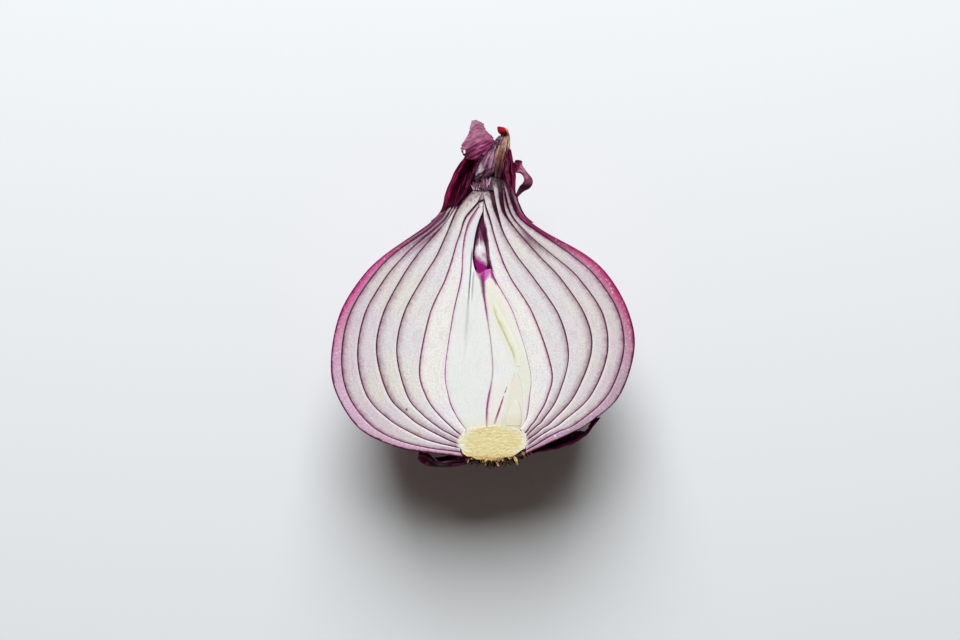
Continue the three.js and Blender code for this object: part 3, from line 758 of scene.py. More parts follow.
def band(across, middle, width):
    """A soft stripe: 1 where across is at its middle, 0 from its width on."""
    return abs(across - middle).step(width * 0.3, width, 1.0, 0.0)


def left_heart_flesh():
    finish, outer, seam, height, drift = heart_flesh("heart_left_flesh", (237, 238, 234))
    top = height.step(12.0, 30.0)
    haze = (drift * 1.2 + outer).step(0.0, 1.1, 0.5, 0.0)
    finish.lay(finish.mix(top, (226, 190, 216), (226, 150, 204)), haze)
    # Near its top the line swells to a magenta blot.
    blot = height.step(30.5, 34.0, 0.0, 0.75) * height.step(36.6, 35.0)
    line = (drift * 0.3 + outer).step(0.08, top.step(0.0, 1.0, 0.3, 0.5) + blot, 0.95, 0.0)
    finish.lay(finish.mix(top, (180, 70, 146), (146, 10, 102)), line)
    ends = height.step(5.0, 14.0).most(height.step(-5.0, -11.0))
    strength = ends.step(0.0, 1.0, 0.4, 1.0) * height.step(21.5, 19.0)
    heart_seam(finish, seam, height, drift, (168, 40, 130), strength)
    # A crease runs down from the hollow and fades: grey painted shade in it, a white lip beside it that is a
    # painted highlight, and painted shade on a fold beyond.
    x, y, _ = finish.place()
    across = drift * 0.25 + (x - (y * 0.07 - 4.45))
    span = y.step(-4, 13) * y.step(28, 25)
    finish.lay((250, 250, 250), band(across, 0.36, 0.3) * y.step(11, 14) * span)
    fold = band(across, 0.8, 0.34) * y.step(12, 17) * y.step(21.5, 20, 0.0, 0.6)
    finish.lay((156, 146, 154), fold)
    crease = band(across, 0.0, y.step(16, 10, 0.3, 0.6)) * y.step(11, 18, 0.3, 0.95)
    finish.lay((132, 122, 132), crease * span)
    finish.lay((240, 236, 210), height.step(-17.8, -14.5, 0.6, 0.0))
    return wet_flesh(finish, 0.5)


def right_heart_flesh():
    finish, outer, seam, height, drift = heart_flesh("heart_right_flesh", (243, 239, 226))
    x, y, _ = finish.place()
    # The yellow-green of the shoot shows through the flesh beside it.
    near = abs(drift * 1.4 + (x - (y * -0.42 + 8.6)))
    glow = near.step(0.0, 3.4, 0.6, 0.0) * y.step(19, 11) * y.step(-16, -4, 0.3, 1.0)
    finish.lay((234, 232, 206), glow)
    ends = height.step(2.0, 9.0).most(height.step(-8.5, -12.0))
    finish.lay((232, 184, 216), (drift + outer).step(0.0, 0.9, 0.5, 0.0) * ends)
    finish.lay((188, 66, 152), (drift * 0.3 + outer).step(0.03, 0.3, 0.85, 0.0) * ends)
    deep = height.step(6.0, 14.0).most(height.step(-5.0, -11.0))
    finish.lay((226, 160, 208), (drift * 0.9 + seam).step(0.0, 0.9, 0.6, 0.0) * deep)
    heart_seam(finish, seam, height, drift, (164, 34, 126), deep.step(0.0, 1.0, 0.3, 1.0))
    # A second magenta stroke runs up beside the bud, and breaks into dots.
    thick = y.step(-17, -7, 0.42, 0.16)
    mark = abs(x - (y * 0.335 + 8.7)).step(thick * 0.5, thick, 0.95, 0.0)
    dotted = finish.noise(1300, 1.0).step(0.36, 0.56).most(y.step(-11, -13))
    span = y.step(-17.3, -16.9) * y.step(-6, -9)
    finish.lay((164, 30, 124), mark * dotted * span)
    # Its tip is magenta, in two points with paler flesh between them.
    wavy = drift * 2.0 + height
    low = (abs(x - 1.8) * -1.5 + 20.4).most(18.0)
    tip = (wavy - low).step(-0.7, 0.6, 0.0, 0.95)
    pink = x.step(0.3, 0.9) * x.step(2.4, 1.9)
    finish.lay(finish.mix(pink, (158, 24, 120), (208, 100, 190)), tip)
    finish.lay((236, 230, 204), wavy.step(-17.8, -13.5, 0.7, 0.0))
    return wet_flesh(finish, 0.5)


def plate_fibre():
    """The root plate: coarse yellow fibre that blends into the pale flesh round it."""
    finish = Finish("root_plate", Roughness=0.65, Subsurface_Weight=0.15, Subsurface_Scale=0.6 * MM)
    x, y, z = finish.place()
    rim, _, _ = finish.reading()
    fibres = finish.noise(1.5, 5.0, 0.8, at=(y * 0.4 + x * 0.7, y, z))
    clumps = finish.noise(520, 4.0, 0.65)
    finish.body = finish.mix(fibres.step(0.3, 0.7), (224, 207, 146), (240, 229, 178))
    finish.lay((216, 184, 108), clumps.step(0.57, 0.68, 0.0, 0.5))
    finish.lay((240, 234, 210), (clumps * 2.2 + rim).step(1.3, 3.7, 0.98, 0.0) * y.step(-25.0, -23.0))
    finish.lay((196, 156, 88), (clumps * 1.5 + y).step(-25.2, -23.4, 0.75, 0.0))
    return finish.done(fibres + clumps, 0.1 * MM, 0.5)


def inner_side(name, near, far):
    """The inner side of a scale, which shows in the hollow and at the neck; from the cut face down to 4 mm
    under it it darkens to its far colour, as painted shade in the hollow.
    """
    finish = Finish(name, Roughness=0.4)
    _, _, depth = finish.place()
    finish.body = finish.mix(finish.noise(260).step(0.35, 0.65), near, far)
    # Painted shade: darker with depth under the cut face.
    finish.body = finish.mix(depth.step(CUT / MM - 4, CUT / MM), far, finish.body)
    return finish.done(finish.noise(900), 0.1 * MM, 0.5)


def sprout_green():
    """The shoot: yellow-green, greenest along its left edge and at its middle."""
    finish = Finish("sprout_green")
    edge_distance, side, height = finish.reading()
    across = (finish.noise(500) - 0.5) * 0.9 + side
    finish.body = finish.mix(across.step(-0.9, 0.35), (222, 217, 168), (241, 240, 228))
    green = across.step(-0.1, -0.75) * height.step(14.5, 9.0) * height.step(-2.5, 0.5)
    finish.lay((198, 192, 126), green * 0.6)
    finish.lay((238, 238, 222), height.step(10.5, 14.5).most(height.step(0.5, -2.4)) * 0.8)
    finish.lay((240, 240, 228), edge_distance.step(0.0, 0.5, 0.7, 0.0) * side.step(-0.4, 0.4))
    return wet_flesh(finish, 0.5)


def bud_cream(name, cream):
    """The bud: cream, with a fine tan outline and a browner foot."""
    finish = Finish(name)
    edge_distance, _, height = finish.reading()
    drift = finish.noise(700) - 0.5
    rim = drift * 0.35 + edge_distance
    outline = rim.step(0.02, 0.16) * rim.step(0.5, 0.2, 0.0, 0.55)
    finish.body = finish.mix(outline, cream, (196, 180, 152))
    finish.lay((222, 206, 160), (drift * 1.6 + height).step(-16.2, -14.0, 0.35, 0.0))
    return wet_flesh(finish, 0.5)


def hollow_tip():
    """The leaf tip in the hollow: shiny white in its middle, magenta at its foot, and mauve at its top, which
    is painted shade where it goes down into the hollow.
    """
    finish = Finish("inner_tip", IOR=FLESH_IOR, Subsurface_Weight=0.1, Subsurface_Scale=0.5 * MM)
    x, y, _ = finish.place()
    drift = finish.noise(380) - 0.5
    height = drift * 3.2 + y
    finish.body = finish.mix(drift.step(-0.05, 0.2), (228, 222, 228), (176, 142, 166))
    finish.lay((168, 24, 128), (x * 0.8 + height).step(24.6, 22.8))
    # Painted shade: mauve towards the top, where the tip goes down into the hollow.
    finish.lay((118, 62, 98), height.step(27.0, 29.6))
    return finish.done(finish.noise(700, 2.0), 0.12 * MM, 0.6, Roughness=0.22, Coat_Weight=0.4)


def dry_skin(name, dark, light, worn, foot=None):
    """Dry onion skin: papery, with lengthwise fibres and paler worn streaks, and a foot of its own colour."""
    finish = Finish(name, Specular_IOR_Level=0.2)
    across, along, around = finish.reading("wrap")
    ribs = around * 70 + across * 14
    fibres = finish.noise(1.5, 4.0, 0.7, at=(ribs, along * 3.5, 0.0))
    clouds = finish.noise(420, 4.0, 0.6)
    streaks = finish.noise(0.8, at=(ribs, along * 2.0, 8.0))
    finish.body = finish.mix(fibres.step(0.36, 0.66), dark, light)
    finish.lay(dark, clouds.step(0.36, 0.6, 0.7, 0.0))
    finish.lay(worn, streaks.step(0.56, 0.72, 0.0, 0.55))
    if foot:
        finish.lay(foot, (streaks * 0.25 + along).step(0.2, 0.5, 1.0, 0.0))
    return finish.done(fibres + clouds, 0.25 * MM, 0.8, Roughness=fibres.step(0.3, 0.7, 0.34, 0.6))


def curl_skin():
    """The curled strip: mauve along its outer edge, and near black where it turns back to its point."""
    finish = Finish("curl_skin", Roughness=0.45)
    part, along, _ = finish.reading()
    clouds = finish.noise(700, 4.0, 0.6)
    fibres = finish.noise(1.0, 4.0, at=(part * 14, along * 5, 0.0))
    finish.body = finish.mix(fibres.step(0.36, 0.64), (170, 84, 120), (212, 138, 168))
    finish.lay((120, 40, 84), (clouds * 0.3 + part).step(0.55, 0.3) * 0.6)
    turned = (clouds * 0.12 + along).step(0.64, 0.76)
    finish.lay(finish.mix(fibres, (58, 0, 34), (118, 18, 74)), turned)
    finish.lay((104, 10, 54), (clouds * 0.1 + along).step(0.27, 0.17))
    return finish.done(fibres + clouds, 0.2 * MM, 0.7)


def flap_paper():
    """The flap: mauve and papery over its fold, magenta and crumpled under it."""
    finish = Finish("flap_paper", Roughness=0.55)
    fold, crease, part = finish.reading()
    x, y, _ = finish.place()
    fibres = finish.noise(2.6, 3.0, 0.7, at=(x - y, (x + y) * 0.12, 0.0))
    clouds = finish.noise(500)
    finish.body = finish.mix(fibres.step(0.3, 0.72), (154, 82, 116), (186, 116, 148))
    finish.lay((136, 100, 122), crease.step(-0.1, 0.5, 0.0, 0.7))
    # Painted shade along the crease.
    finish.lay((76, 14, 54), abs(crease).step(0.0, 0.16, 0.8, 0.0))
    # Under the fold the crumpled pleats carry painted highlights, with painted shade between them.
    pleats = finish.noise(1.0, at=(fold * 2.4, (x + y) * 0.17, 0.0))
    under = finish.mix(pleats.step(0.38, 0.6), (112, 16, 70), (218, 108, 168))
    under = finish.mix(x.step(-1.0, -3.2, 0.0, 0.8), under, (100, 16, 58))
    finish.lay(under, (clouds * 0.5 + fold).step(0.3, 0.15))
    finish.lay((112, 20, 80), part.step(0.05, 0.0).most(part.step(0.95, 1.0)) * 0.8)
    return finish.done(fibres + clouds, 0.12 * MM, 0.6)


def dried_leaf(name, dark, light):
    """A shrivelled leaf: painted shade in its folds, painted highlights on its ridges, and whitish at its
    left foot, partly its own grey and partly painted highlight.
    """
    finish = Finish(name, Roughness=0.6)
    ridge, crease, height = finish.reading()
    x, y, _ = finish.place()
    clouds = finish.noise(480, 4.0, 0.6)
    finish.body = finish.mix(clouds.step(0.36, 0.64), dark, light)
    # Painted highlights on the ridges of its relief, and painted shade in its folds.
    finish.lay((184, 140, 164), (ridge + crease).step(0.1, 0.6, 0.0, 0.5))
    finish.lay((60, 10, 40), ridge.step(-0.05, -0.4, 0.0, 0.85))
    finish.lay((72, 24, 54), finish.noise(1500, 3.0, 0.7).step(0.55, 0.68, 0.0, 0.5))
    grey = x.step(0.6, -0.6) * height.step(48.8, 47.4) * clouds.step(0.42, 0.56, 0.2, 0.85)
    finish.lay((168, 164, 166), grey)
    # One deep fold runs across its foot, with painted shade in it.
    fold = (clouds - 0.5) * 0.6 + abs(y - (x * 0.48 + 45.75))
    finish.lay((66, 12, 44), fold.step(0.12, 0.4, 0.85, 0.0))
    finish.lay((78, 24, 56), height.step(45.2, 44.0, 0.0, 0.85))
    return finish.done(finish.noise(1200, 4.0, 0.65), 0.35 * MM, 0.8)


def dried_stub():
    """The stub: tan at its top, rusty in its middle and dark at its foot."""
    finish = Finish("dried_stub", Roughness=0.65)
    ridge, _, height = finish.reading()
    x, y, z = finish.place()
    fibres = finish.noise(1.5, 4.0, 0.65, at=(x, y * 0.4, z))
    clouds = finish.noise(520)
    finish.body = finish.mix(fibres.step(0.36, 0.64), (140, 96, 76), (198, 164, 140))
    # Painted shade in the folds of its relief.
    finish.lay((80, 40, 38), ridge.step(-0.05, -0.4, 0.0, 0.7))
    finish.lay((116, 48, 38), (clouds * 3.0 + height).step(53.0, 50.4) * 0.8)
    finish.lay((54, 18, 26), (clouds * 2.0 + height).step(50.4, 48.0) * 0.9)
    return finish.done(fibres + clouds, 0.35 * MM, 0.8)


def red_tip():
    """The stub's tip: deep red, with a pale rim on its right."""
    finish = Finish("red_tip", Roughness=0.6, Specular_IOR_Level=0.12)
    x, y, _ = finish.place()
    clouds = finish.noise(900)
    finish.body = finish.mix(clouds.step(0.36, 0.6), (100, 0, 18), (166, 0, 24))
    finish.lay((206, 148, 138), (y * 0.45 + x).step(31.1, 31.6))
    return finish.done(clouds, 0.1 * MM, 0.5)


def root_fibre():
    """The roots: golden or near black by their tint, and magenta where skin hangs among them."""
    finish = Finish("root_fibre", Roughness=0.75)
    tint, along, _ = finish.reading()
    x, y, _ = finish.place()
    fibres = finish.noise(1600)
    grain = fibres.step(0.38, 0.64)
    finish.body = finish.mix(grain, (176, 132, 72), (234, 204, 146))
    finish.lay(finish.mix(grain, (18, 8, 5), (66, 38, 22)), tint.step(0.5, 0.6))
    finish.lay((60, 36, 20), along.step(0.6, 1.0, 0.0, 0.5))
    beside = x.step(-2.6, -3.3).most(x.step(10.1, 10.8))
    finish.lay((132, 6, 62), beside * y.step(-26.4, -25.6, 0.0, 0.9))
    return finish.done(fibres, 0.2 * MM, 0.8)


def torn_fibre():
    """The fibres in the neck: pale, mauve or dark by their tint."""
    finish = Finish("torn_fibre", Roughness=0.55)
    tint, _, _ = finish.reading()
    finish.body = finish.mix(tint.step(0.2, 0.5), (214, 172, 192), (140, 74, 108))
    finish.lay((64, 6, 38), tint.step(0.6, 0.66))
    return finish.done(finish.noise(1500, 2.0), 0.1 * MM, 0.6)


# Pieces

def paint(piece, cut, outer, inner, depth=CUT_DEPTH):
    """Gives the cut face, the outside and the inside of a piece their own finish."""
    for material in (cut, outer, inner):
        piece.data.materials.append(material)
    wrap = piece.data.attributes["wrap"].data
    for face in piece.data.polygons:
        lowest = min(piece.data.vertices[index].co.z for index in face.vertices)
        if lowest > CUT - depth and face.normal.z > 0.5:
            face.material_index = 0
            continue
        middle = sum(wrap[index].vector.x for index in face.vertices) / len(face.vertices)
        face.material_index = 1 if middle > 0.5 else 2


def rim_rounding(across):
    """The cut face of a layer stands a little proud between its two lines."""
    return RIM_DROP * abs(2 * across - 1) ** 6


def shell(number):
    """One fleshy scale, as a half shell between two layer lines."""
    outer_grow = 0.0 if number == 1 else -HALF_GAP

    def place(across, along, around):
        angle = math.pi * around
        at = along * NECK_REACH[number]
        outer = round_point(*section(number - 1, at, outer_grow), angle)
        inner = round_point(*section(number, at, HALF_GAP), angle)
        point = inner.lerp(outer, across)
        wall = (outer - inner).length / MM
        if is_on_cut(around):
            point.z -= rim_rounding(across) + NECK_DROP * smoothstep(0.93, 1.0, along)
        point.z = max(point.z, 0.0)
        return point, (wall * (1 - across), wall * across, along)

    return shape(turned_stock(f"shell_{number}", ACROSS, ALONG, AROUND), place)


def shells():
    dark_skin = onion_skin("outer_skin", (84, 12, 58), (150, 48, 112))
    pale_skin = onion_skin("scale_skin", (112, 40, 90), (186, 120, 168))
    inside = inner_side("scale_inside", (224, 206, 220), (196, 160, 190))
    hollow = inner_side("hollow_inside", (150, 70, 120), (84, 20, 60))
    for number in range(1, 7):
        piece = shell(number)
        flesh = outer_flesh() if number == 1 else shell_flesh(number)
        paint(piece, flesh, dark_skin if number == 1 else pale_skin, hollow if number == 6 else inside)
        fit(piece, f"scale_{number}")


def heart(name, side, top):
    """A heart: it fills the core on its own side of the seam, which is a flat wall."""
    core_left, core_right = (tuple(line) for line in LAYER_LINES[6])

    def place(across, along, around):
        angle = math.pi / 2 * around
        height = HEART_FOOT + (top(across) - HEART_FOOT) * along
        lines = (core_left, core_right, SEAM_LINE)
        left, right, seam = (across_at(line, round(height, 4)) for line in lines)
        middle = (left + right) / 2
        radius = (right - left) / 2 - HALF_GAP / MM
        seam += side * HALF_GAP / MM
        seam = min(max(seam, middle - 0.96 * radius), middle + 0.96 * radius)
        offset = side * (middle - seam)
        reach = offset * math.cos(angle) + math.sqrt(radius ** 2 - (offset * math.sin(angle)) ** 2)
        distance = reach * across
        flat = seam + side * distance * math.cos(angle)
        point = Vector((flat, height, CUT / MM - distance * math.sin(angle))) * MM
        if around < 1e-5:
            point.z -= rim_rounding(across) if across > 0.5 else RIM_DROP * 0.6 * (1 - 2 * across) ** 6
        return point, (reach - distance, distance, height)

    return shape(turned_stock(name, 26, 150, 26, turn=math.pi / 2, inside=0.0), place)


def hearts():
    low, high = RIGHT_TIP
    skin = onion_skin("heart_skin", (176, 90, 150), (226, 190, 216))
    left = heart("left_heart", -1, lambda across: HEART_TOP)
    right = heart("right_heart", 1, lambda across: low + (high - low) * (1 - (1 - across) ** 2))
    paint(left, left_heart_flesh(), skin, skin)
    paint(right, right_heart_flesh(), skin, skin)
    fit(left, "heart_left")
    fit(right, "heart_right")


def half_body(name, outline, across=14, along=60, around=24, lift=0.0, waves=0.0, crown=0.0, ragged=0.0):
    """A solid half body under the cut face, between a left and a right outline."""
    left_line, right_line = outline

    def place(part, at, around):
        left = edge(left_line, at, ragged * rough(at * 13, 1.5, 0.5), -1)
        right = edge(right_line, at, ragged * rough(at * 13, 6.5, 0.5), 1)
        middle = (left + right) / 2
        ray = round_point(left, right, math.pi * around)
        point = Vector((middle.x, middle.y, CUT)).lerp(ray, part)
        width = (right - left).length / 2 / MM
        side = -1 if around > 0.5 else 1
        if is_on_cut(around):
            dips = waves * abs(rough(point.x / MM * 0.9, point.y / MM * 1.3, 3.0))
            end = max(2 * at - 1, part)
            point.z += lift - dips - crown * end ** 6
        return point, (width * (1 - part), side * part, point.y / MM)

    return shape(turned_stock(name, across, along, around, inside=0.0), place)


def basal_plate():
    plate = half_body("root_plate", PLATE_LINE, 30, 90, 40, PLATE_LIFT, PLATE_WAVES, ragged=PLATE_TEARS)
    fit(plate, "basal_plate", plate_fibre())


def shoot_and_bud():
    for name, outline, lift, finish, slot in (
        ("sprout", SPROUT_LINE, 0.05, sprout_green(), "sprout_flesh"),
        ("bud", BUD_LINE, 0.06, bud_cream("bud_cream", (236, 233, 219)), "heart_flesh"),
        ("bud_core", BUD_CORE_LINE, 0.14, bud_cream("bud_core_cream", (238, 237, 222)), "heart_flesh"),
    ):
        fit(half_body(f"{name}_body", outline, lift=lift * MM, crown=BUD_CROWN), name, finish)


def round_body(name, outline, depth, flatness, around, along, wrinkle, folds):
    """A closed round body between two outlines, its middle at a depth under the cut face."""

    def place(_, at, turn):
        left, right = both_sides(outline, at)
        angle = 2 * math.pi * turn
        fullness = math.sin(math.pi * at) ** 0.35 if 0 < at < 1 else 0.0
        middle = (left + right) / 2
        left, right = middle.lerp(left, fullness), middle.lerp(right, fullness)
        point = round_point(left, right, angle, CUT - depth * MM, flatness)
        spoke = point - Vector((middle.x, middle.y, CUT - depth * MM))
        ridge = rough(math.cos(angle) * folds, math.sin(angle) * folds, at * 2.5 + 7)
        crease = rough(math.cos(angle) * 2, at * 9, math.sin(angle) * 2)
        point += spoke.normalized() * fullness * wrinkle * MM * (ridge + 0.5 * crease)
        return point, (ridge, crease, point.y / MM)

    return shape(ball_stock(name, around, along), place)


def inner_tip():
    tip = round_body("inner_leaf_tip", INNER_TIP_LINE, 1.75, 0.7, 48, 60, 0.12, 1.5)
    fit(tip, "inner_tip", hollow_tip())


def neck_core():
    """The dried inner leaf and its flake, the stub beside it and the stub's red tip."""
    leaf = dried_leaf("dried_leaf", (100, 52, 82), (156, 102, 134))
    flake = dried_leaf("leaf_flake", (74, 46, 60), (140, 108, 124))
    for name, node, finish, slot, outline, *sizes in (
        ("dried_leaf", "neck_leaf", leaf, "dried_leaf", LEAF_LINE, 1.7, 0.75, 90, 110, 0.75, 3.2),
        ("leaf_flake", "neck_leaf", flake, "dried_leaf", FLAKE_LINE, 0.9, 0.5, 30, 24, 0.3, 3.0),
        ("dried_stub", "neck_stub", dried_stub(), "dried_stub", STUB_LINE, 1.4, 0.9, 70, 90, 0.5, 3.6),
        ("red_tip", "neck_tip", red_tip(), "red_tip", TIP_LINE, 0.5, 0.85, 40, 30, 0.05, 3.0),
    ):
        fit(round_body(name, outline, *sizes), node, finish)


def sheath(name, outside, inside, thin_until, ragged):
    """A dry sheath round the neck: a half shell with a torn foot and torn upper edges."""

    def place(across, along, around):
        angle = math.pi * around
        tear = rough(around * 9, 1.7, 0.3) + 0.5 * rough(around * 31, 4.1, 0.3)
        torn_foot = 0.16 * abs(rough(around * 7, 9.7, 0.3)) + 0.08 * abs(rough(around * 27, 3.1, 0.3))
        torn_foot *= min(4 * math.sin(angle), 1.0)
        at = torn_foot + (1 - torn_foot) * along * (1 - ragged * abs(tear))
        wave = rough(around * 7, along * 4, 5.5) + 0.6 * rough(around * 19, along * 9, 1.5)
        grow = 0.38 * MM * wave * smoothstep(0.0, 0.4, along)
        outer = round_point(*both_sides(outside, at, grow), angle)
        inner = round_point(*both_sides(inside, at, grow), angle)
        thick = smoothstep(0.0, thin_until, along) * (0.35 + 0.65 * abs(math.cos(angle)))
        point = outer.lerp(inner, (1 - across) * max(thick, 0.05))
        if is_on_cut(around):
            layers = rough(across * 5, along * 6, 2.5)
            point.z += 0.7 * MM * layers * smoothstep(0.0, 0.3, along) - 0.3 * MM
        wall = (outer - inner).length / MM
        return point, (wall * (1 - across), wall * across, along)

    return shape(turned_stock(name, 8, 90, 90), place)


def neck_skins():
    dark = dry_skin("neck_skin_dark", (52, 4, 30), (118, 16, 66), (124, 88, 106), (120, 32, 86))
    inside = dry_skin("neck_skin_inside", (84, 2, 42), (150, 10, 80), (160, 122, 140))
    rim = dry_skin("neck_skin_rim", (116, 0, 60), (188, 10, 100), (166, 120, 146))
    outer = sheath("neck_sheath", SHEATH_OUTSIDE, SHEATH_INSIDE, 0.35, 0.1)
    inner = sheath("inner_neck_sheath", INNER_SHEATH_OUTSIDE, INNER_SHEATH_INSIDE, 0.2, 0.12)
    grey_rim = dry_skin("inner_sheath_rim", (74, 14, 46), (150, 62, 104), (166, 136, 152))
    for piece, cut in ((outer, rim), (inner, grey_rim)):
        paint(piece, cut, dark, inside, depth=SHEATH_CUT_DEPTH)
        fit(piece, "neck_skin")


def thin_sheet(name, across, along, place, thickness, is_hole=None):
    """A sheet with a thickness, shaped from its middle surface, with a hole where one is asked for."""
    piece = flat_stock(name, across, along)
    with editing(piece):
        bpy.ops.transform.translate(value=(0.5, 0.5, 0))
    shape(piece, lambda part, at, _: place(part, at))

    def is_in_hole(face):
        corner = piece.data.attributes["wrap"].data[face.vertices[0]].vector
        return is_hole(corner.x, corner.y, face.center)

    if is_hole:
        with editing(piece, "polygons", is_in_hole):
            bpy.ops.mesh.delete(type="FACE")
    activate(piece)
    modifier = piece.modifiers.new("solidify", "SOLIDIFY")
    modifier.thickness = thickness
    modifier.offset = 0.0
    bpy.ops.object.modifier_apply(modifier=modifier.name)
    return close(piece, 50)


def side_of(line, point):
    """How far a point is above a straight line, in the line's own unit."""
    start, end = (Vector(corner) for corner in line)
    along = (end - start).normalized()
    beyond = Vector(point) - start
    return along.x * beyond.y - along.y * beyond.x


def neck_flap():
    """The torn, papery flap: folded along one line, creased near its tip, with a small hole."""
    left_line, right_line = FLAP_LINE

    def place(part, at):
        ragged = 0.12 * rough(at * 23, part * 3, 9.0)
        flat = spline(left_line, at).lerp(spline(right_line, at), part * (1 + ragged) - ragged / 2)
        fold = side_of(FLAP_FOLD, flat)
        crease = side_of(FLAP_CREASE, flat)
        height = 0.9 - 0.5 * max(-fold, 0.0) + 0.12 * max(fold, 0.0) - 0.5 * max(crease, 0.0)
        height += 0.1 * math.sin(flat.x * 1.9 + flat.y * 0.8) + 0.2 * rough(*(flat * 0.7), 0.0)
        height += 0.07 * rough(*(flat * 2.6), 10.4)
        return Vector((flat.x, flat.y, CUT / MM + height)) * MM, (fold, crease, part)

    def is_hole(part, at, middle):
        beside = middle.xy / MM - Vector(FLAP_HOLE)
        return (beside.x / FLAP_HOLE_RADII[0]) ** 2 + (beside.y / FLAP_HOLE_RADII[1]) ** 2 < 1

    flap = thin_sheet("papery_flap", 60, 80, place, FLAP_THICKNESS, is_hole)
    fit(flap, "neck_flap", flap_paper())


def neck_curl():
    """The torn strip that curls away from the neck and ends in a point."""
    left_line, right_line = CURL_LINE

    def place(part, at):
        flat = spline(left_line, at).lerp(spline(right_line, at), part)
        rise = 0.9 * math.sin(math.pi * min(at * 1.3, 1.0)) - 2.2 * at ** 2
        twist = (part - 0.5) * (1.8 - 3.4 * at)
        ripple = 0.22 * rough(part * 4, at * 9, 3.0)
        return Vector((flat.x, flat.y, CUT / MM - 0.5 + rise + twist + ripple)) * MM, (part, at, 0.0)

    curl = thin_sheet("curled_strip", 16, 90, place, CURL_THICKNESS)
    fit(curl, "neck_curl", curl_skin())


def base_skins():
    """Two remains of the dry outer skin by the root plate, which spring away from the bulb."""
    dark = dry_skin("base_skin", (34, 2, 20), (88, 14, 56), (120, 50, 92))

    def right_place(part, at):
        ragged = 1 + 0.12 * rough(part * 8, 2.0, 2.0)
        along = 0.035 + 0.265 * at * ragged
        spring = (0.35 + 2.0 * math.sin(math.pi * at ** 1.3)) * (1 - part) ** 1.2 + 0.25
        spring += 0.25 * rough(part * 3, at * 8, 6.0)
        torn = 1 + 0.45 * rough(at * 4.5, 3.0, 8.0)
        point = round_point(*both_sides(LAYER_LINES[0], along, spring * MM), 0.015 + 1.05 * part * torn)
        point.z -= 0.5 * MM * abs(rough(at * 14, 1.0, 1.0))
        return point, (part, at, 0.0)

    def is_slit(part, at, _):
        return ((at - 0.84) / 0.1) ** 2 + ((part - 0.4) / 0.32) ** 2 < 1

    def left_place(part, at):
        down = min(part * 2, 1.0)
        over = max(part * 2 - 1, 0.0)
        upper, lower = (spline(line, at) for line in LEFT_SKIN_LINE)
        flat = upper.lerp(lower, down)
        sink = 1.3 + 1.0 * down + 6.0 * over * (0.7 + 0.5 * math.sin(at * 7))
        sink += 0.5 * math.sin(at * 9 + part * 4) + 0.7 * rough(part * 4, at * 6, 8.0)
        return Vector((flat.x, flat.y + 2.2 * over ** 2, CUT / MM - sink)) * MM, (part, at, 0.0)

    right = thin_sheet("right_base_skin", 40, 90, right_place, BASE_SKIN_THICKNESS, is_slit)
    fit(right, "base_skin_right", dark)
    left = thin_sheet("left_base_skin", 40, 90, left_place, BASE_SKIN_THICKNESS)
    fit(left, "base_skin_left", dark)


def strand(start, direction, length, radius, seed):
    """The points of one tapering, bent strand, in rings."""
    generator = random.Random(seed)
    across = direction.cross(Vector((0.3, 0.2, 1.0))).normalized()
    upwards = across.cross(direction).normalized()
    bend = Vector([generator.uniform(-1, 1) for _ in range(3)]) * length * 0.35
    rings = []
    for ring in range(STRAND_RINGS + 1):
        part = ring / STRAND_RINGS
        middle = start + direction * length * part + bend * part * part
        width = radius * (1 - 0.7 * part) * generator.uniform(0.8, 1.15)
        rings.append([
            middle + (across * math.cos(angle) + upwards * math.sin(angle)) * width
            for angle in (2 * math.pi * side / STRAND_SIDES for side in range(STRAND_SIDES))
        ])
    return rings


def bunch(name, strands):
    """Many strands in one piece: one strand's shape is modelled, and each copy is bent in its own way."""
    deselect()
    bpy.ops.mesh.primitive_cylinder_add(vertices=STRAND_SIDES, radius=1, depth=1, end_fill_type="NGON")
    pattern = bpy.context.object

    def runs_lengthwise(side):
        bottom, top = (pattern.data.vertices[index].co.z for index in side.vertices)
        return abs(bottom - top) > 0.5

    with editing(pattern, "edges", runs_lengthwise):
        bpy.ops.mesh.subdivide(number_cuts=STRAND_RINGS - 1)
    copies = []
    for *course, tint in strands:
        rings = strand(*course)
        copy = pattern.copy()
        copy.data = pattern.data.copy()
        bpy.context.scene.collection.objects.link(copy)
        tints = copy.data.attributes.new("layer", "FLOAT_VECTOR", "POINT")
        for vertex in copy.data.vertices:
            ring = round((vertex.co.z + 0.5) * STRAND_RINGS)
            turn = math.atan2(vertex.co.y, vertex.co.x) / (2 * math.pi)
            vertex.co = rings[ring][round(turn * STRAND_SIDES) % STRAND_SIDES]
            tints.data[vertex.index].vector = (tint, ring / STRAND_RINGS, 0.0)
        copies.append(copy)
    bpy.data.objects.remove(pattern)
    deselect()
    for copy in copies:
        copy.select_set(True)
    bpy.context.view_layer.objects.active = copies[0]
    bpy.ops.object.join()
    piece = bpy.context.object
    piece.name = name
    with editing(piece):
        bpy.ops.mesh.normals_make_consistent(inside=False)
    bpy.ops.object.shade_smooth_by_angle(angle=math.radians(50))
    return piece


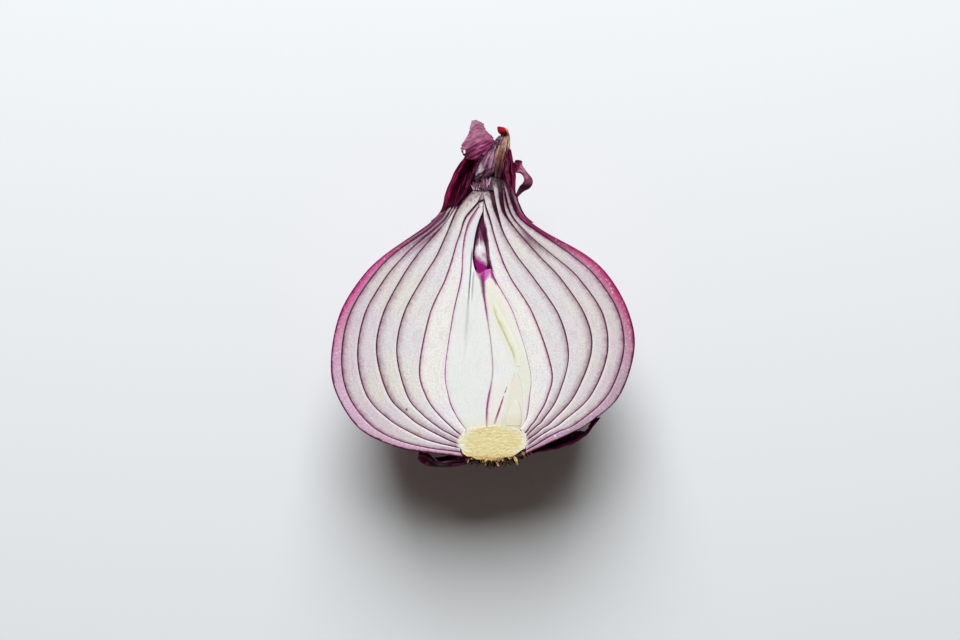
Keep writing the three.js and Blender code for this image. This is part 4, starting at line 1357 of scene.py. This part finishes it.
def roots():
    """A crust of torn root stubs over the foot of the plate, dark below and golden at the cut."""
    generator = random.Random(ROOT_SEED)
    strands = []
    for number in range(ROOT_COUNT):
        is_golden = number % 7 < 2
        kind = "golden" if is_golden else "thin" if number % 4 == 0 else "crumb"
        reach, depths, lengths, radii, tints = ROOT_KINDS[kind]
        at = generator.uniform(0.0, reach)
        near_cut = generator.uniform(0.0, 0.09)
        if is_golden or number % 2:
            around = generator.choice((near_cut, 1 - near_cut))
        else:
            around = generator.uniform(0.0, 1.0)
        start = round_point(*both_sides(PLATE_LINE, at, -ROOT_SINK), math.pi * around)
        direction = Vector((
            0.9 * math.cos(math.pi * around) * at * 2 + generator.uniform(-1.1, 1.1),
            -1.0 + generator.uniform(-0.2, 0.8),
            -0.75 * math.sin(math.pi * around) + generator.uniform(-0.5, 0.3),
        )).normalized()
        start.z = min(start.z, CUT - generator.uniform(*depths) * MM)
        direction.z = min(direction.z, 0.1)
        tint = generator.uniform(*tints)
        length, radius = (generator.uniform(*sizes) * MM for sizes in (lengths, radii))
        strands.append((start, direction, length, radius, number, tint))
    for number, (start, direction) in enumerate(LONG_ROOTS):
        course = (Vector(start) * MM, Vector(direction).normalized(), LONG_ROOT_LENGTH, LONG_ROOT_RADIUS)
        strands.append((*course, LONG_ROOT_SEED + number, 0.05))
    fit(bunch("torn_roots", strands), "roots", root_fibre())


def torn_fibres():
    """Pale fibres that hang between the neck's flesh and the dried leaf."""
    generator = random.Random(FIBRE_SEED)
    strands = []
    for number in range(FIBRE_COUNT):
        across = generator.uniform(-2.4, 1.9)
        low = 41.8 + 0.45 * across + generator.uniform(-0.2, 0.6)
        start = Vector((across, low, CUT / MM - generator.uniform(0.3, 1.2))) * MM
        direction = Vector((generator.uniform(-0.35, 0.45), 1.0, generator.uniform(-0.2, 0.2))).normalized()
        length = generator.uniform(*FIBRE_LENGTHS) * MM
        strands.append((start, direction, length, FIBRE_RADIUS, STRAND_SEED + number, generator.random()))
    fit(bunch("torn_fibres", strands), "neck_leaf", torn_fibre())


# Floor, light and camera

def stage():
    deselect()
    bpy.ops.mesh.primitive_plane_add(size=FLOOR_SIZE, location=(0, 0, -FLOOR_DROP))
    floor = bpy.context.object
    floor.name = "floor"
    finish = Finish("floor_paper", Roughness=0.85, Base_Color=(236, 239, 241))
    floor.data.materials.append(finish.material)

    world = bpy.data.worlds.new("daylight")
    bpy.context.scene.world = world
    world.use_nodes = True
    background = world.node_tree.nodes["Background"]
    background.inputs["Color"].default_value = colour(250, 232, 214)
    background.inputs["Strength"].default_value = WORLD_STRENGTH

    window = bpy.data.lights.new("window", "AREA")
    window.shape = "RECTANGLE"
    window.size, window.size_y = WINDOW_SIZES
    window.energy = WINDOW_ENERGY
    window.color = (0.965, 0.99, 1.0)
    lamp = bpy.data.objects.new("window", window)
    bpy.context.scene.collection.objects.link(lamp)
    lamp.location = WINDOW_PLACE
    aim = Vector((0.0, 0.0, CUT)) - lamp.location
    lamp.rotation_euler = aim.to_track_quat("-Z", "Y").to_euler()


def camera():
    data = bpy.data.cameras.new("camera")
    data.lens = LENS
    data.sensor_width = FILM_WIDTH
    data.clip_start = 0.01
    eye = bpy.data.objects.new("camera", data)
    bpy.context.scene.collection.objects.link(eye)
    eye.location = (*VIEW_MIDDLE, CUT + VIEW_WIDTH * LENS / FILM_WIDTH)
    bpy.context.scene.camera = eye
    bpy.context.scene.view_settings.view_transform = "Standard"


shells()
hearts()
shoot_and_bud()
inner_tip()
basal_plate()
roots()
base_skins()
neck_skins()
torn_fibres()
neck_core()
neck_flap()
neck_curl()
stage()
camera()
